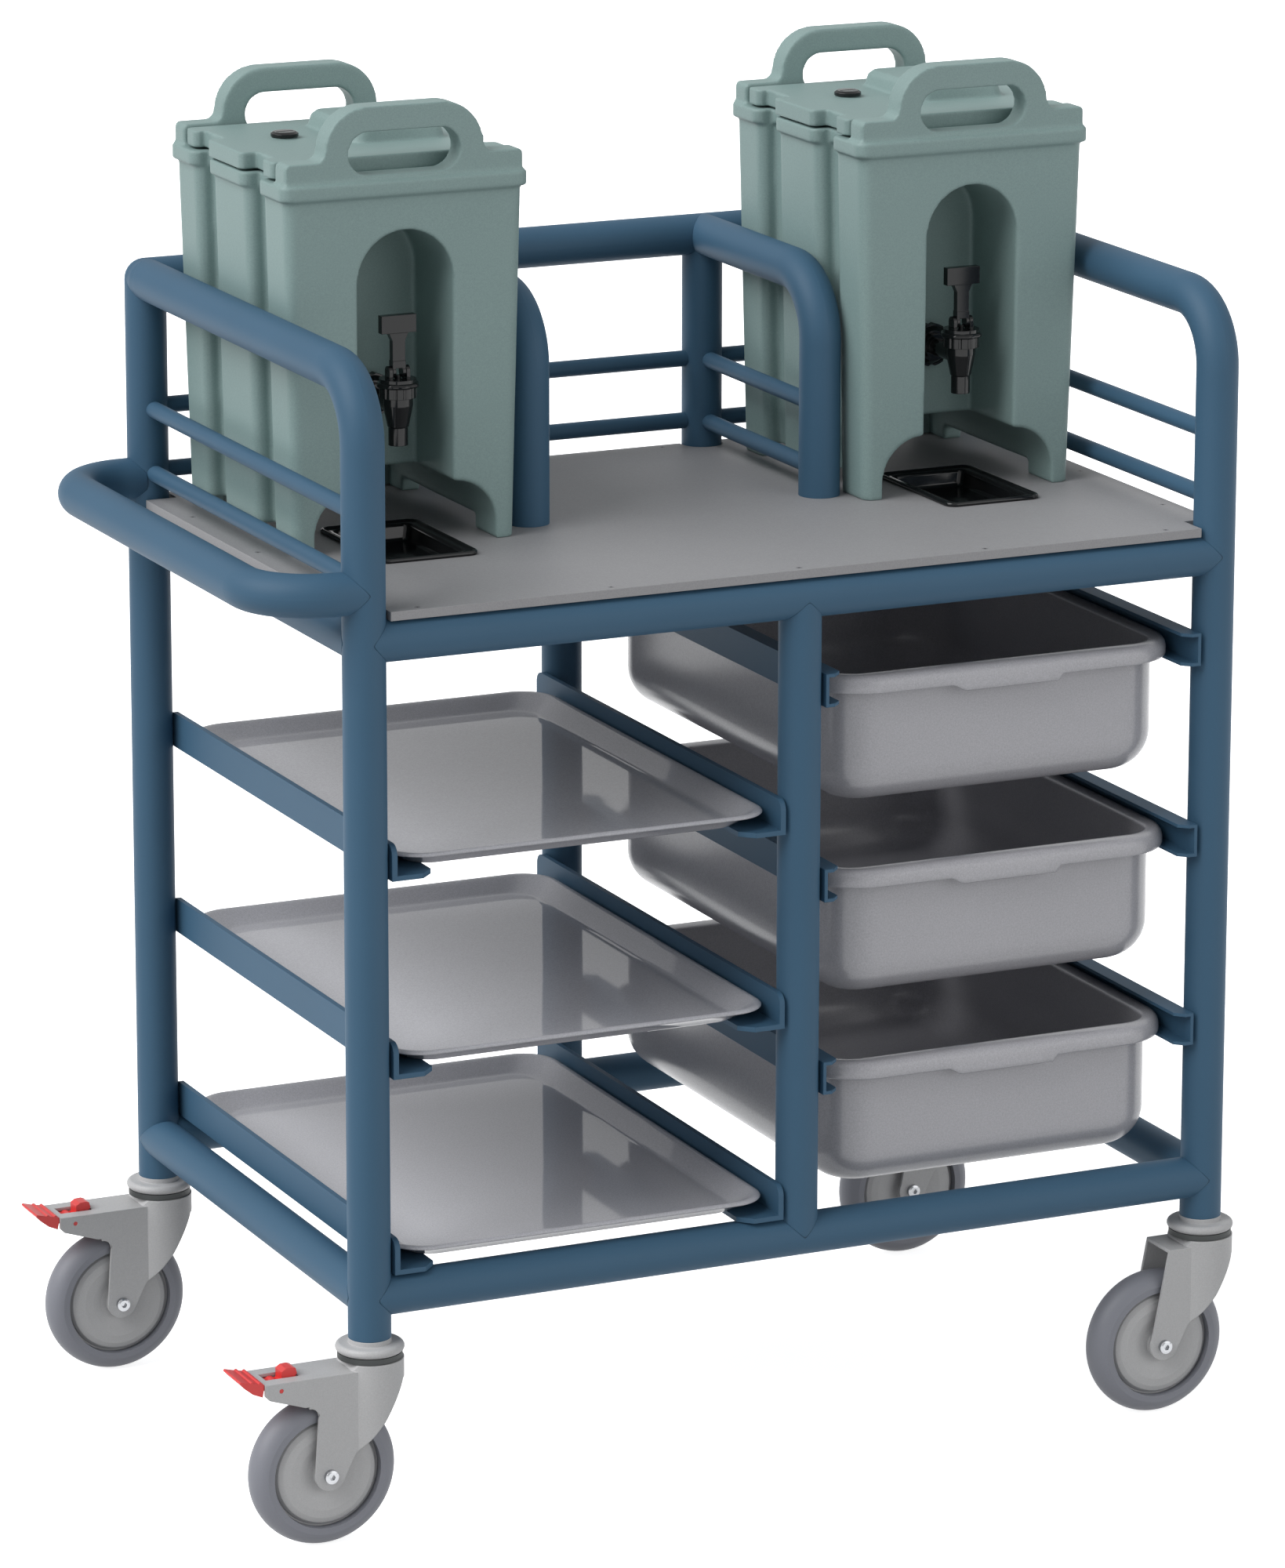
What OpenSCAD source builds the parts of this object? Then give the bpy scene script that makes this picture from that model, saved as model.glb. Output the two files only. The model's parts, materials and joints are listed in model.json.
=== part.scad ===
// Serving trolley with two insulated drink urns, three trays and three tubs.
// X runs along the length with the push handle at the low end, Y from front to back, Z up from the floor.

/* [Frame] */
// Distance between the corner posts' axes along the length
post_span_x = 828; // [824:1:840]
// Distance between the corner posts' axes from front to back
post_span_y = 511; // [508:1:516]
// Outside diameter of the main tubes
tube_d = 38.1; // [37.8:0.1:38.2]
// Wall thickness of the main tubes
tube_wall = 1.6; // [1.2:0.1:2.2]
// Height of the base rails' axis
base_rail_z = 220.1; // [216:0.1:220.1]
// Height of the deck rails' axis
deck_rail_z = 806.2; // [804:0.1:810]
// Height of the guard rails' axis above the deck rails' axis
guard_rise = 228.2; // [224:0.1:240]
// Centre-line radius of the bends in the guard tubes
guard_bend_r = 58; // [50:1:64]
// Diameter of the thin guard bars
bar_d = 15.3; // [13:0.1:16]
// Heights of the two rows of thin bars above the deck rails' axis
bar_rise = [50.4, 110];
// Distance of each divider from the middle of the trolley
divider_x = 145.5; // [145:0.1:146]
// Position of the dividers' front legs, from front to back
divider_y = 3.5; // [0:0.5:8]
// Clearance left for the weld where one tube is fitted to another
weld_gap = 0.05; // [0.03:0.01:0.08]

/* [Push handle] */
// Height of the handle tube's axis above the deck rails' axis
handle_rise = 44.1; // [43:0.1:50]
// Distance from the posts' axes to the handle grip's axis
handle_reach = 85.8; // [80:0.1:100]
// Centre-line radius of the handle's bends
handle_bend_r = 60; // [50:1:70]

/* [Deck] */
// Thickness of the deck board
board_t = 8; // [6:0.5:10]
// How far the board reaches past the side posts' axes
board_over_side = 10; // [8:0.5:12]
// How far the board reaches past the front posts' axes
board_over_front = 12.5; // [10:0.5:14]
// How far the board reaches past the back posts' axes
board_over_back = 6.5; // [4:0.5:8]
// Clearance between the board's notches and the posts
notch_gap = 1; // [0.5:0.5:2]
// Diameter of the deck screws' heads
screw_head_d = 6; // [5:0.5:7]
// Length of a drip pan's rim, along the trolley and front to back
pan_size = [96, 148];
// Depth of a drip pan
pan_depth = 30; // [20:1:34]
// Position of the drip pans' middle, front to back
pan_y = -24; // [-28:1:-20]

/* [Trays] */
// Height of the lowest tray runner's bottom
runner_z = 239.8; // [239.6:0.1:242]
// Height from one level to the next
level_pitch = 177.8; // [177:0.1:178.5]
// Height of a tray runner
runner_h = 32; // [28:1:38]
// Width of a tray runner's flange, web included
runner_w = 41; // [38:1:46]
// Thickness of a tray runner's web
runner_web_t = 5; // [4:0.5:6]
// Thickness of a tray runner's flange
runner_flange_t = 4.5; // [3.5:0.5:5]
// How far the tray runners reach past the posts' axes: front, back
runner_over = [13.5, 4.5];
// Size of a tray across its rim
tray_size = [361, 507.5];
// Height of a tray
tray_h = 15; // [12:1:20]
// Thickness of a tray
tray_t = 2.4; // [2:0.1:3]
// Radius of a tray's corners
tray_corner_r = 35; // [25:1:45]

/* [Tubs] */
// Height of the lowest tub channel's bottom
channel_z = 351.4; // [350:0.1:354]
// Height of a tub channel
channel_h = 30; // [29:0.5:32]
// Width of a tub channel's flanges, web included
channel_w = 16.5; // [15:0.5:17]
// Sheet thickness of a tub channel
channel_t = 3; // [2.5:0.5:3.5]
// How far the tub channels reach past the posts' axes: front, back
channel_over = [14.5, 6.5];
// Size of a tub across its rim
tub_size = [367, 495];
// Height of a tub
tub_h = 122; // [100:1:125]
// Height of the rolled lip round a tub
tub_lip_h = 16; // [14:0.5:18]
// Radius of a tub's lower edge
tub_edge_r = 42; // [36:1:46]
// Radius of a tub's upright corners
tub_corner_r = 55; // [50:1:60]
// Thickness of a tub's walls
tub_t = 3; // [2.5:0.5:4]
// Width and height of the deeper grip in the middle of a tub's front and back lips
grip_w = 112; // [90:1:130]
grip_h = 22; // [20:1:26]
// Sliding clearance between a tub's lip and its channels
tub_slide_gap = 0.4; // [0.3:0.1:1]

/* [Castors] */
// Diameter of the wheels
wheel_d = 135.6; // [125:0.1:136]
// Width of the tyres
tyre_w = 32; // [28:1:33]
// How far a wheel's axle trails behind the swivel axis
trail = 46.9; // [44:0.1:48]
// Height of the fork's top face
fork_top_z = 165; // [165:0.1:168]
// Width across the fork's flat sides
fork_w = 44; // [44:0.5:46]
// Thickness of the fork's side plates
fork_t = 3; // [2.5:0.1:3]
// Diameter of the fork's round head
fork_head_d = 60; // [58:1:61]
// Diameter of the fixed ring under each post
ring_d = 61; // [60:0.5:64]
// Thickness of the fixed ring
ring_t = 8; // [7:0.5:9]
// Diameter of the swivel pin
kingpin_d = 12; // [10:0.5:14]
// Running clearance on radius of the castors' pins and axles
run_gap = 0.05; // [0.03:0.01:0.1]
// Diameter of the wheel axles
axle_d = 8; // [7:0.5:9]

/* [Urns] */
// Distance of each urn's middle from the middle of the trolley: left, right
urn_pos = [-284, 275];
// Half of an urn's width at the foot and under the rim
urn_half_w = [105.6, 113];
// Front and back of an urn at the foot
urn_y = [-42, 215];
// Distance from the back rail's axis to an urn's back at the foot
urn_back_gap = 40.5; // [36:0.5:44]
// Height of the rim band's lower edge above the deck
urn_rim_z = 317; // [310:1:320]
// Height of the rim band
urn_rim_h = 13.5; // [12:0.5:15]
// How far the rim band stands out from the walls
urn_rim_out = 4; // [3:0.5:5]
// Depth of the upright grooves in an urn's sides
groove_d = 16; // [12:1:18]
// Radius of an urn's upright corners
urn_corner_r = 10; // [8:1:12]
// Half of the tap recess's width
recess_half_w = 45.5; // [42:0.5:48]
// Depth of the tap recess from the urn's foot line
recess_d = 84; // [78:1:86]
// Height of the tap recess's crown above the deck
recess_top = 285.5; // [280:0.5:290]
// Height of the passage under the urn
passage_h = 56; // [50:0.5:56]
// Width of each handle
handle_w = 151; // [146:1:156]
// Height of the handles' top above the deck
handle_top = 396.5; // [392:0.5:402]
// Height of the urn lid's top above the deck
lid_top = 347.5; // [346:0.5:350]

/* [Taps] */
// Height of the tap's shank above the deck
tap_z = 123.5; // [120:0.5:128]
// Position of the tap's upright axis, front to back
tap_y = -25; // [-27:0.5:-23]
// Diameter of the spout
spout_d = 17.5; // [16:0.5:19]
// Diameter of the cap on the tap body
bonnet_d = 33; // [30:0.5:34]
// Width of the lever's cross piece
lever_w = 33; // [28:0.5:36]

/* [Hidden] */
$fn = 64;

post_x = post_span_x / 2;
post_y = post_span_y / 2;
tube_r = tube_d / 2;
guard_z = deck_rail_z + guard_rise;
handle_z = deck_rail_z + handle_rise;
board_z = deck_rail_z + tube_r;
deck_z = board_z + board_t;
pedal_tip = 130;
shift_x = (pedal_tip - ring_d / 2) / 2;

bay_in = tube_r;                     // inner faces of the centre posts
bay_out = post_x - tube_r;           // inner faces of the corner posts
tray_x = -(bay_in + bay_out) / 2;
tray_y = -10;
tub_x = (bay_in + bay_out) / 2;
tub_y = -10;
runner_ends = [-post_y - runner_over[0], post_y + runner_over[1]];
channel_ends = [-post_y - channel_over[0], post_y + channel_over[1]];

wheel_r = wheel_d / 2;
fork_half = fork_w / 2;
fork_in = fork_half - fork_t;
seal_gap = 0.3;
seal_t = 5.3;
ring_z = fork_top_z + seal_gap + seal_t;
post_z = ring_z + ring_t + 4.5;

urn_oy = post_y - urn_back_gap - urn_y[1];   // the urns and pans stand off the back rail
urn_mid_y = (urn_y[0] + urn_y[1]) / 2;
urn_half_l = (urn_y[1] - urn_y[0]) / 2;
urn_rim_half = urn_half_w[1] + urn_rim_out + 0.5;
rim_top = urn_rim_z + urn_rim_h;
recess_y = urn_y[0] + recess_d;
lid_y = [-12, 195.5];
lid_z = rim_top + 2;
mouth = [82, 1, 190];                // half width, front and back of the lid's opening
tap_axis_z = tap_z;
lever_pivot_z = tap_z + 32;

frame_blue = [0.25, 0.36, 0.46];
board_grey = [0.55, 0.55, 0.57];
pearl = [0.62, 0.62, 0.64];
urn_green = [0.52, 0.60, 0.59];
tyre_grey = [0.40, 0.41, 0.45];
tap_black = [0.07, 0.08, 0.09];
pedal_red = [0.78, 0.22, 0.22];

module placed(p = [0, 0, 0]) translate([shift_x, 0, 0]) translate(p) children();

// ---- tube frame

module along_x() rotate([0, 90, 0]) children();
module along_y() rotate([-90, 0, 0]) children();
module corner_signs() for (sx = [-1, 1], sy = [-1, 1]) translate([sx * post_x, sy * post_y, 0]) children();

// Outer envelopes that other tubes are fitted against
module post_core() cylinder(h = guard_z, d = tube_d + 2 * weld_gap);
module ball_post_core() {
    post_core();
    translate([0, 0, guard_z]) sphere(d = tube_d + 2 * weld_gap);
}
module rail_core_x(y, z) translate([0, y, z]) along_x()
    cylinder(h = post_span_x, d = tube_d + 2 * weld_gap, center = true);

module pipe(len, d = tube_d, wall = tube_wall) difference() {
    cylinder(h = len, d = d, center = true);
    cylinder(h = len + 2, d = d - 2 * wall, center = true);
}

// A leg from z_low up to a quarter bend and on to the back rail
module hoop_solid(d, y_leg, z_low) {
    translate([0, y_leg, z_low]) cylinder(h = guard_z - guard_bend_r - z_low, d = d);
    translate([0, y_leg + guard_bend_r, guard_z - guard_bend_r]) rotate([90, 0, -90])
        rotate_extrude(angle = 90) translate([guard_bend_r, 0]) circle(d = d);
    translate([0, y_leg + guard_bend_r, guard_z]) along_y()
        cylinder(h = post_y - y_leg - guard_bend_r, d = d);
}
module hoop(y_leg, z_low) difference() {
    hoop_solid(tube_d, y_leg, z_low);
    hoop_solid(tube_d - 2 * tube_wall, y_leg, z_low - 0.01);
}

module corner_posts_front() placed() color(frame_blue) for (s = [-1, 1]) translate([s * post_x, 0, 0])
    difference() {
        hoop(-post_y, post_z);
        translate([0, post_y, 0]) ball_post_core();
        rail_core_x(post_y, guard_z);
    }

module corner_posts_back() placed() color(frame_blue) for (s = [-1, 1])
    translate([s * post_x, post_y, 0]) difference() {
        union() {
            translate([0, 0, post_z]) cylinder(h = guard_z - post_z, d = tube_d);
            translate([0, 0, guard_z]) sphere(d = tube_d);
        }
        translate([0, 0, post_z - 1]) cylinder(h = guard_z - post_z + 1, d = tube_d - 2 * tube_wall);
        translate([0, 0, guard_z]) sphere(d = tube_d - 2 * tube_wall);
    }

module centre_posts() placed() color(frame_blue) for (s = [-1, 1]) translate([0, s * post_y, 0])
    difference() {
        translate([0, 0, (base_rail_z + deck_rail_z) / 2]) pipe(deck_rail_z - base_rail_z);
        for (z = [base_rail_z, deck_rail_z]) rail_core_x(0, z);
    }

module guard_rail_back() placed() color(frame_blue) difference() {
    translate([0, post_y, guard_z]) along_x() pipe(post_span_x, $fn = 180);
    for (s = [-1, 1]) translate([s * post_x, post_y, 0]) ball_post_core($fn = 180);
}

module guard_bars() placed() color(frame_blue) difference() {
    for (rise = bar_rise) translate([0, 0, deck_rail_z + rise]) {
        for (s = [-1, 1]) translate([s * post_x, 0, 0]) along_y()
            cylinder(h = post_span_y, d = bar_d, center = true);
        for (s = [-1, 1]) translate([s * divider_x, divider_y, 0]) along_y()
            cylinder(h = post_y - divider_y, d = bar_d);
        translate([0, post_y, 0]) along_x() cylinder(h = post_span_x, d = bar_d, center = true);
    }
    corner_signs() post_core();
    for (s = [-1, 1], y = [divider_y, post_y]) translate([s * divider_x, y, 0]) post_core();
}

module divider_hoops() placed() color(frame_blue) for (s = [-1, 1]) translate([s * divider_x, 0, 0])
    difference() {
        hoop(divider_y, deck_z);
        translate([0, post_y, 0]) post_core();
        rail_core_x(post_y, guard_z);
    }

module divider_posts() placed() color(frame_blue) for (s = [-1, 1])
    translate([s * divider_x, post_y, 0]) difference() {
        translate([0, 0, (deck_rail_z + guard_z) / 2]) pipe(guard_rise);
        for (z = [deck_rail_z, guard_z]) rail_core_x(0, z);
    }

// Four rails between the corner posts at one level
module rail_ring(z) {
    for (s = [-1, 1]) difference() {
        translate([0, s * post_y, z]) along_x() pipe(post_span_x);
        for (t = [-1, 1]) translate([t * post_x, s * post_y, 0]) post_core();
    }
    for (s = [-1, 1]) difference() {
        translate([s * post_x, 0, z]) along_y() pipe(post_span_y);
        for (t = [-1, 1]) translate([s * post_x, t * post_y, 0]) post_core();
        for (t = [-1, 1]) rail_core_x(t * post_y, z);
    }
}

// The deck screws, as [x, y]
screw_points = [
    for (x = [48 - post_x, 230 - post_x, -3, post_x - 234, post_x - 52]) [x, -post_y - 4],
    for (x = [92 - post_x, -60, 103, post_x - 92]) [x, post_y - 3],
    for (s = [-1, 1], y = [90.5 - post_y, -6, post_y - 103.5]) [s * (post_x - 3), y]
];
module deck_rails() placed() color(frame_blue) difference() {
    rail_ring(deck_rail_z);
    for (p = screw_points) translate([p[0], p[1], deck_rail_z]) cylinder(h = tube_d, d = 3.4);
}
module base_rails() placed() color(frame_blue) rail_ring(base_rail_z);

module handle_solid(d) {
    for (s = [-1, 1]) {
        translate([-post_x, s * post_y, 0]) rotate([0, -90, 0])
            cylinder(h = handle_reach - handle_bend_r, d = d);
        translate([-post_x - handle_reach + handle_bend_r, s * (post_y - handle_bend_r), 0])
            rotate([0, 0, s > 0 ? 90 : 180])
                rotate_extrude(angle = 90) translate([handle_bend_r, 0]) circle(d = d);
    }
    translate([-post_x - handle_reach, 0, 0]) along_y()
        cylinder(h = 2 * (post_y - handle_bend_r), d = d, center = true);
}
module push_handle() placed() color(frame_blue) difference() {
    translate([0, 0, handle_z]) handle_solid(tube_d);
    translate([0, 0, handle_z]) handle_solid(tube_d - 2 * tube_wall);
    for (s = [-1, 1]) translate([-post_x, s * post_y, 0]) post_core();
    // room for the ends of the thin bar between the legs
    translate([-post_x - bar_d / 2 - 0.3, -post_y + 10, handle_z - 30]) cube([40, post_span_y - 20, 60]);
}

// ---- deck

// A rectangle with round corners, w by l, centred
module round_rect(w, l, r) {
    square([w - 2 * r, l], center = true);
    square([w, l - 2 * r], center = true);
    for (sx = [-1, 1], sy = [-1, 1]) translate([sx * (w / 2 - r), sy * (l / 2 - r)]) circle(r = r);
}

pan_flange = 10;
pan_hole = [pan_size[0] - 2 * pan_flange + 2, pan_size[1] - 2 * pan_flange + 2];
board_hw = post_x + board_over_side;
board_front = -post_y - board_over_front;
board_back = post_y + board_over_back;
notch_x = post_x - tube_r - notch_gap;
notch_y = post_y - tube_r - notch_gap;

module deck_board() placed() color(board_grey) difference() {
    translate([0, 0, board_z]) linear_extrude(board_t) difference() {
        translate([-board_hw, board_front]) square([2 * board_hw, board_back - board_front]);
        for (sx = [-1, 1], sy = [-1, 1]) scale(1) translate([
            sx > 0 ? notch_x : -notch_x - 60, sy > 0 ? notch_y : -notch_y - 60]) square([60, 60]);
        for (s = [-1, 1]) translate([s * divider_x, post_y]) {
            circle(r = tube_r + notch_gap);
            translate([-tube_r - notch_gap, 0]) square([tube_d + 2 * notch_gap, 40]);
        }
        for (x = urn_pos) translate([x, urn_oy + pan_y]) round_rect(pan_hole[0], pan_hole[1], 8);
    }
    for (p = screw_points) translate([p[0], p[1], board_z - 1]) cylinder(h = board_t + 2, d = 3.4);
    for (p = screw_points) translate([p[0], p[1], deck_z - 2.1]) cylinder(h = 3, d = screw_head_d + 0.1);
}

module deck_screws() placed() color("silver") for (p = screw_points)
    translate([p[0], p[1], deck_z]) {
        difference() {
            translate([0, 0, -2]) cylinder(h = 2, d = screw_head_d);
            translate([0, 0, -1.2]) cylinder(h = 2, d = 2.8, $fn = 6);
        }
        translate([0, 0, -board_t - 6]) cylinder(h = board_t + 4.5, d = 3.3);
    }

// A shallow pan hung by its rim in the board's cut-out
module pan_slab(w, l, r, z) translate([0, 0, z]) linear_extrude(0.1) round_rect(w, l, r, $fn = 32);
module drip_pan(x) placed([x, urn_oy + pan_y, deck_z]) color(tap_black) {
    pw = pan_hole[0] - 1.2;
    pl = pan_hole[1] - 1.2;
    difference() {
        union() {
            translate([0, 0, 0.05]) linear_extrude(2) round_rect(pan_size[0], pan_size[1], 10);
            translate([0, 0, 2]) linear_extrude(2.2) difference() {
                round_rect(pan_size[0], pan_size[1], 10);
                round_rect(pan_size[0] - 7, pan_size[1] - 7, 7);
            }
            hull() {
                pan_slab(pw, pl, 7, 0);
                pan_slab(pw - 8, pl - 8, 7, -pan_depth);
            }
        }
        hull() {
            pan_slab(pw - 4, pl - 4, 5.5, 2.5);
            pan_slab(pw - 12, pl - 12, 5.5, -pan_depth + 2);
        }
    }
}
module drip_pan_left() drip_pan(urn_pos[0]);
module drip_pan_right() drip_pan(urn_pos[1]);

// ---- tray runners and trays

// L section with its upper web corners rounded and its outer flange corners cut back
module runner() {
    l = runner_ends[1] - runner_ends[0];
    cr = 10;
    translate([0, runner_ends[0], 0]) {
        translate([0, 0, 0]) rotate([90, 0, 90]) linear_extrude(runner_web_t) {
            square([l, runner_h - cr]);
            translate([cr, 0]) square([l - 2 * cr, runner_h]);
            for (y = [cr, l - cr]) translate([y, runner_h - cr]) circle(r = cr);
        }
        linear_extrude(runner_flange_t) polygon([
            [0, 0], [runner_w - 12, 0], [runner_w, 12], [runner_w, l - 12], [runner_w - 12, l], [0, l]]);
    }
}
module tray_runners() placed() color(frame_blue) difference() {
    for (k = [0:2]) translate([0, 0, runner_z + k * level_pitch]) {
        translate([-bay_out, 0, 0]) runner();
        translate([-bay_in, 0, 0]) mirror([1, 0, 0]) runner();
    }
    for (s = [-1, 1]) rail_core_x(s * post_y, base_rail_z);
}

module tray_slab(inset, r, z, t) translate([0, 0, z]) linear_extrude(t)
    round_rect(tray_size[0] - 2 * inset, tray_size[1] - 2 * inset, r, $fn = 48);
module tray(k) placed([tray_x, tray_y, runner_z + k * level_pitch + runner_flange_t + 0.05])
    color(pearl) difference() {
        union() {
            hull() {
                tray_slab(22, tray_corner_r - 10, 0, 0.2);
                tray_slab(4, tray_corner_r - 3, tray_h - 1.2, 0.2);
            }
            translate([0, 0, tray_h - 3.4]) linear_extrude(3.4)
                round_rect(tray_size[0], tray_size[1], tray_corner_r);
        }
        hull() {
            tray_slab(22 + tray_t * 0.6, tray_corner_r - 11, tray_t, 0.2);
            tray_slab(4 + tray_t, tray_corner_r - 5, tray_h + 0.1, 0.2);
        }
        translate([0, 0, tray_t - 0.1]) linear_extrude(1)
            round_rect(tray_size[0] - 50, tray_size[1] - 50, tray_corner_r - 12);
    }
module tray_top() tray(2);
module tray_middle() tray(1);
module tray_bottom() tray(0);

// ---- tub channels and tubs

module channel() {
    l = channel_ends[1] - channel_ends[0];
    c = 8;
    translate([0, channel_ends[0], 0]) {
        cube([channel_t, l, channel_h]);
        for (z = [0, channel_h - channel_t]) translate([0, 0, z]) linear_extrude(channel_t) polygon([
            [0, 0], [channel_w - c, 0], [channel_w, c], [channel_w, l - c], [channel_w - c, l], [0, l]]);
    }
}
module tub_channels() placed() color(frame_blue) for (k = [0:2])
    translate([0, 0, channel_z + k * level_pitch]) {
        translate([bay_in, 0, 0]) channel();
        translate([bay_out, 0, 0]) mirror([1, 0, 0]) channel();
    }

tub_lip_w = 13.5;
// Outside of the tub below its lip: a box with a large round lower edge
module tub_form(grow) {
    w = tub_size[0] - 2 * tub_lip_w;
    l = tub_size[1] - 2 * tub_lip_w;
    hull() {
        translate([0, 0, tub_h - 4]) linear_extrude(grow < 0 ? 4.2 : 2)
            round_rect(w + 2 * grow, l + 2 * grow, tub_corner_r + grow, $fn = 32);
        for (sx = [-1, 1], sy = [-1, 1])
            translate([sx * (w / 2 - tub_corner_r), sy * (l / 2 - tub_corner_r), tub_edge_r])
                rotate_extrude($fn = 28) translate([tub_corner_r - tub_edge_r, 0]) intersection() {
                    circle(r = tub_edge_r + grow, $fn = 28);
                    translate([0, -100]) square([100, 200]);
                }
    }
}
module tub(k) placed([tub_x, tub_y, channel_z + k * level_pitch + channel_t + tub_slide_gap + tub_lip_h - tub_h])
    color(pearl) difference() {
        union() {
            tub_form(0);
            // rolled lip: a flat top with a turned-down outer edge
            translate([0, 0, tub_h - tub_lip_h]) linear_extrude(tub_lip_h) difference() {
                round_rect(tub_size[0], tub_size[1], tub_corner_r + 6);
                round_rect(tub_size[0] - 2 * tub_t, tub_size[1] - 2 * tub_t, tub_corner_r + 6 - tub_t);
            }
            translate([0, 0, tub_h - tub_t]) linear_extrude(tub_t)
                round_rect(tub_size[0], tub_size[1], tub_corner_r + 6);
            // finger grips in the middle of the front and back lips
            for (s = [-1, 1]) translate([-grip_w / 2, s > 0 ? tub_size[1] / 2 - tub_t : -tub_size[1] / 2 - 1.5,
                tub_h - grip_h]) cube([grip_w, tub_t + 1.5, grip_h - 2]);
        }
        tub_form(-tub_t);
    }
module tub_top() tub(2);
module tub_middle() tub(1);
module tub_bottom() tub(0);

// ---- castors; local origin on the swivel axis, Z from the floor

module stem() {
    r_in = tube_r - tube_wall - 0.05;
    rotate_extrude() polygon([
        [0, fork_top_z - 21.5], [9, fork_top_z - 21.5], [9, fork_top_z - 18.3], [kingpin_d / 2, fork_top_z - 18.3],
        [kingpin_d / 2, fork_top_z + seal_gap], [19.8, fork_top_z + seal_gap], [19.8, ring_z],
        [ring_d / 2 - 4, ring_z], [ring_d / 2 - 4, ring_z + ring_t], [tube_r, ring_z + ring_t],
        [tube_r, post_z - 0.05], [r_in, post_z - 0.05], [r_in, post_z + 30], [r_in - 2, post_z + 32],
        [0, post_z + 32]]);
    translate([0, 0, ring_z + ring_t / 2]) rotate_extrude() translate([ring_d / 2 - ring_t / 2, 0])
        circle(d = ring_t);
}
module castor_stems() placed() color(pearl) corner_signs() stem();

module castor_seals() placed() color([0.22, 0.23, 0.23]) corner_signs()
    translate([0, 0, fork_top_z + seal_gap]) difference() {
        cylinder(h = seal_t - 0.05, d = 57.5);
        translate([0, 0, -1]) cylinder(h = seal_t + 2, r = 19.85);
    }

pivot = [-92, 152.5];                 // brake pedal's pivot, x and z
hood_z = fork_top_z - 5.5;
hood_end = -107;
// Side outlines of the fork, x and z, with the axle at [-trail, wheel_r]
module fork_leg() {
    translate([-trail, wheel_r]) circle(r = 14);
}
module plain_outline() {
    fork_leg();
    polygon([[-43, hood_z], [-60.8, wheel_r - 1.5], [-35.2, wheel_r - 7.5], [-23, 84.7], [-10, 98],
        [2.3, 113], [24, 147], [26, 147], [30, 151], [30, fork_top_z], [-20, fork_top_z], [-24, hood_z]]);
}
module braked_outline() {
    fork_leg();
    difference() {
        polygon([[hood_end, hood_z], [hood_end, 149], [-103, 145], [-70, 134], [-57, 134], [-57, 123],
            [-60.8, wheel_r - 1.5], [-35.2, wheel_r - 7.5], [-23, 84.7], [-10, 98], [2.3, 113], [24, 147],
            [26, 147], [30, 151], [30, fork_top_z], [-20, fork_top_z], [-24, hood_z]]);
        translate([-64.5, 124.5]) circle(r = 8);
    }
    // fillet between the hood and the leg
    difference() {
        translate([-66, 124]) square([9, 12]);
        translate([-65.4, 123.5]) circle(r = 8.4);
    }
}
module extrude_y(half) translate([0, half, 0]) rotate([90, 0, 0]) linear_extrude(2 * half) children();

module fork(braked) difference() {
    intersection() {
        union() {
            translate([0, 0, 40]) cylinder(h = fork_top_z - 40, d = fork_head_d);
            translate([-120, -fork_half, 40]) cube([120, fork_w, hood_z - 40]);
        }
        extrude_y(fork_head_d / 2) if (braked) braked_outline(); else plain_outline();
    }
    // room for the wheel between the side plates
    translate([-130, -fork_in, 30]) cube([170, 2 * fork_in, 147 - 30]);
    translate([-130, -fork_in, 30]) cube([130 - fork_head_d / 2 + 4, 2 * fork_in, hood_z - 30 - fork_t]);
    translate([0, 0, 140]) cylinder(h = 40, d = kingpin_d + 2 * run_gap);
    translate([-trail, 0, wheel_r]) along_y() cylinder(h = 80, d = axle_d + 0.02, center = true);
    if (braked) {
        translate([-101.5, -8.6, hood_z - 10]) cube([31, 17.2, 20]);
        translate([pivot[0], 0, pivot[1]]) along_y() cylinder(h = 80, d = 4 + 2 * run_gap, center = true);
    }
}

// A pedal outside the hood, an arm under it and a release tab up through its slot
module brake_pedal() {
    // ribbed tread
    extrude_y(20) polygon([[-109, 148.6], [-107.4, 156], [-107.4, 160], [-109.4, 160.6], [-110, 162.2],
        [-111.6, 162.2], [-112.4, 161.2], [-116.6, 162], [-117.4, 163.6], [-119, 163.6], [-120, 162.8],
        [-129, 165.2], [-pedal_tip, 163.6], [-126, 159], [-118, 152.5]]);
    extrude_y(7.5) {
        polygon([[-109, 150], [-76, 150], [-73, 153], [-73, hood_z + 0.6], [-71.8, hood_z + 2.4],
            [-73, hood_z + 7], [-76, hood_z + 8], [-82, hood_z + 7.6], [-86, hood_z + 5], [-86, 156],
            [-109, 156]]);
        translate([pivot[0], pivot[1]]) circle(r = 5);
    }
    translate([pivot[0], 0, pivot[1]]) along_y() cylinder(h = 2 * fork_half - 1, d = 4, center = true);
    translate([pivot[0], 0, pivot[1]]) along_y() cylinder(h = 2 * fork_in - 1, d = 7, center = true);
}

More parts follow.
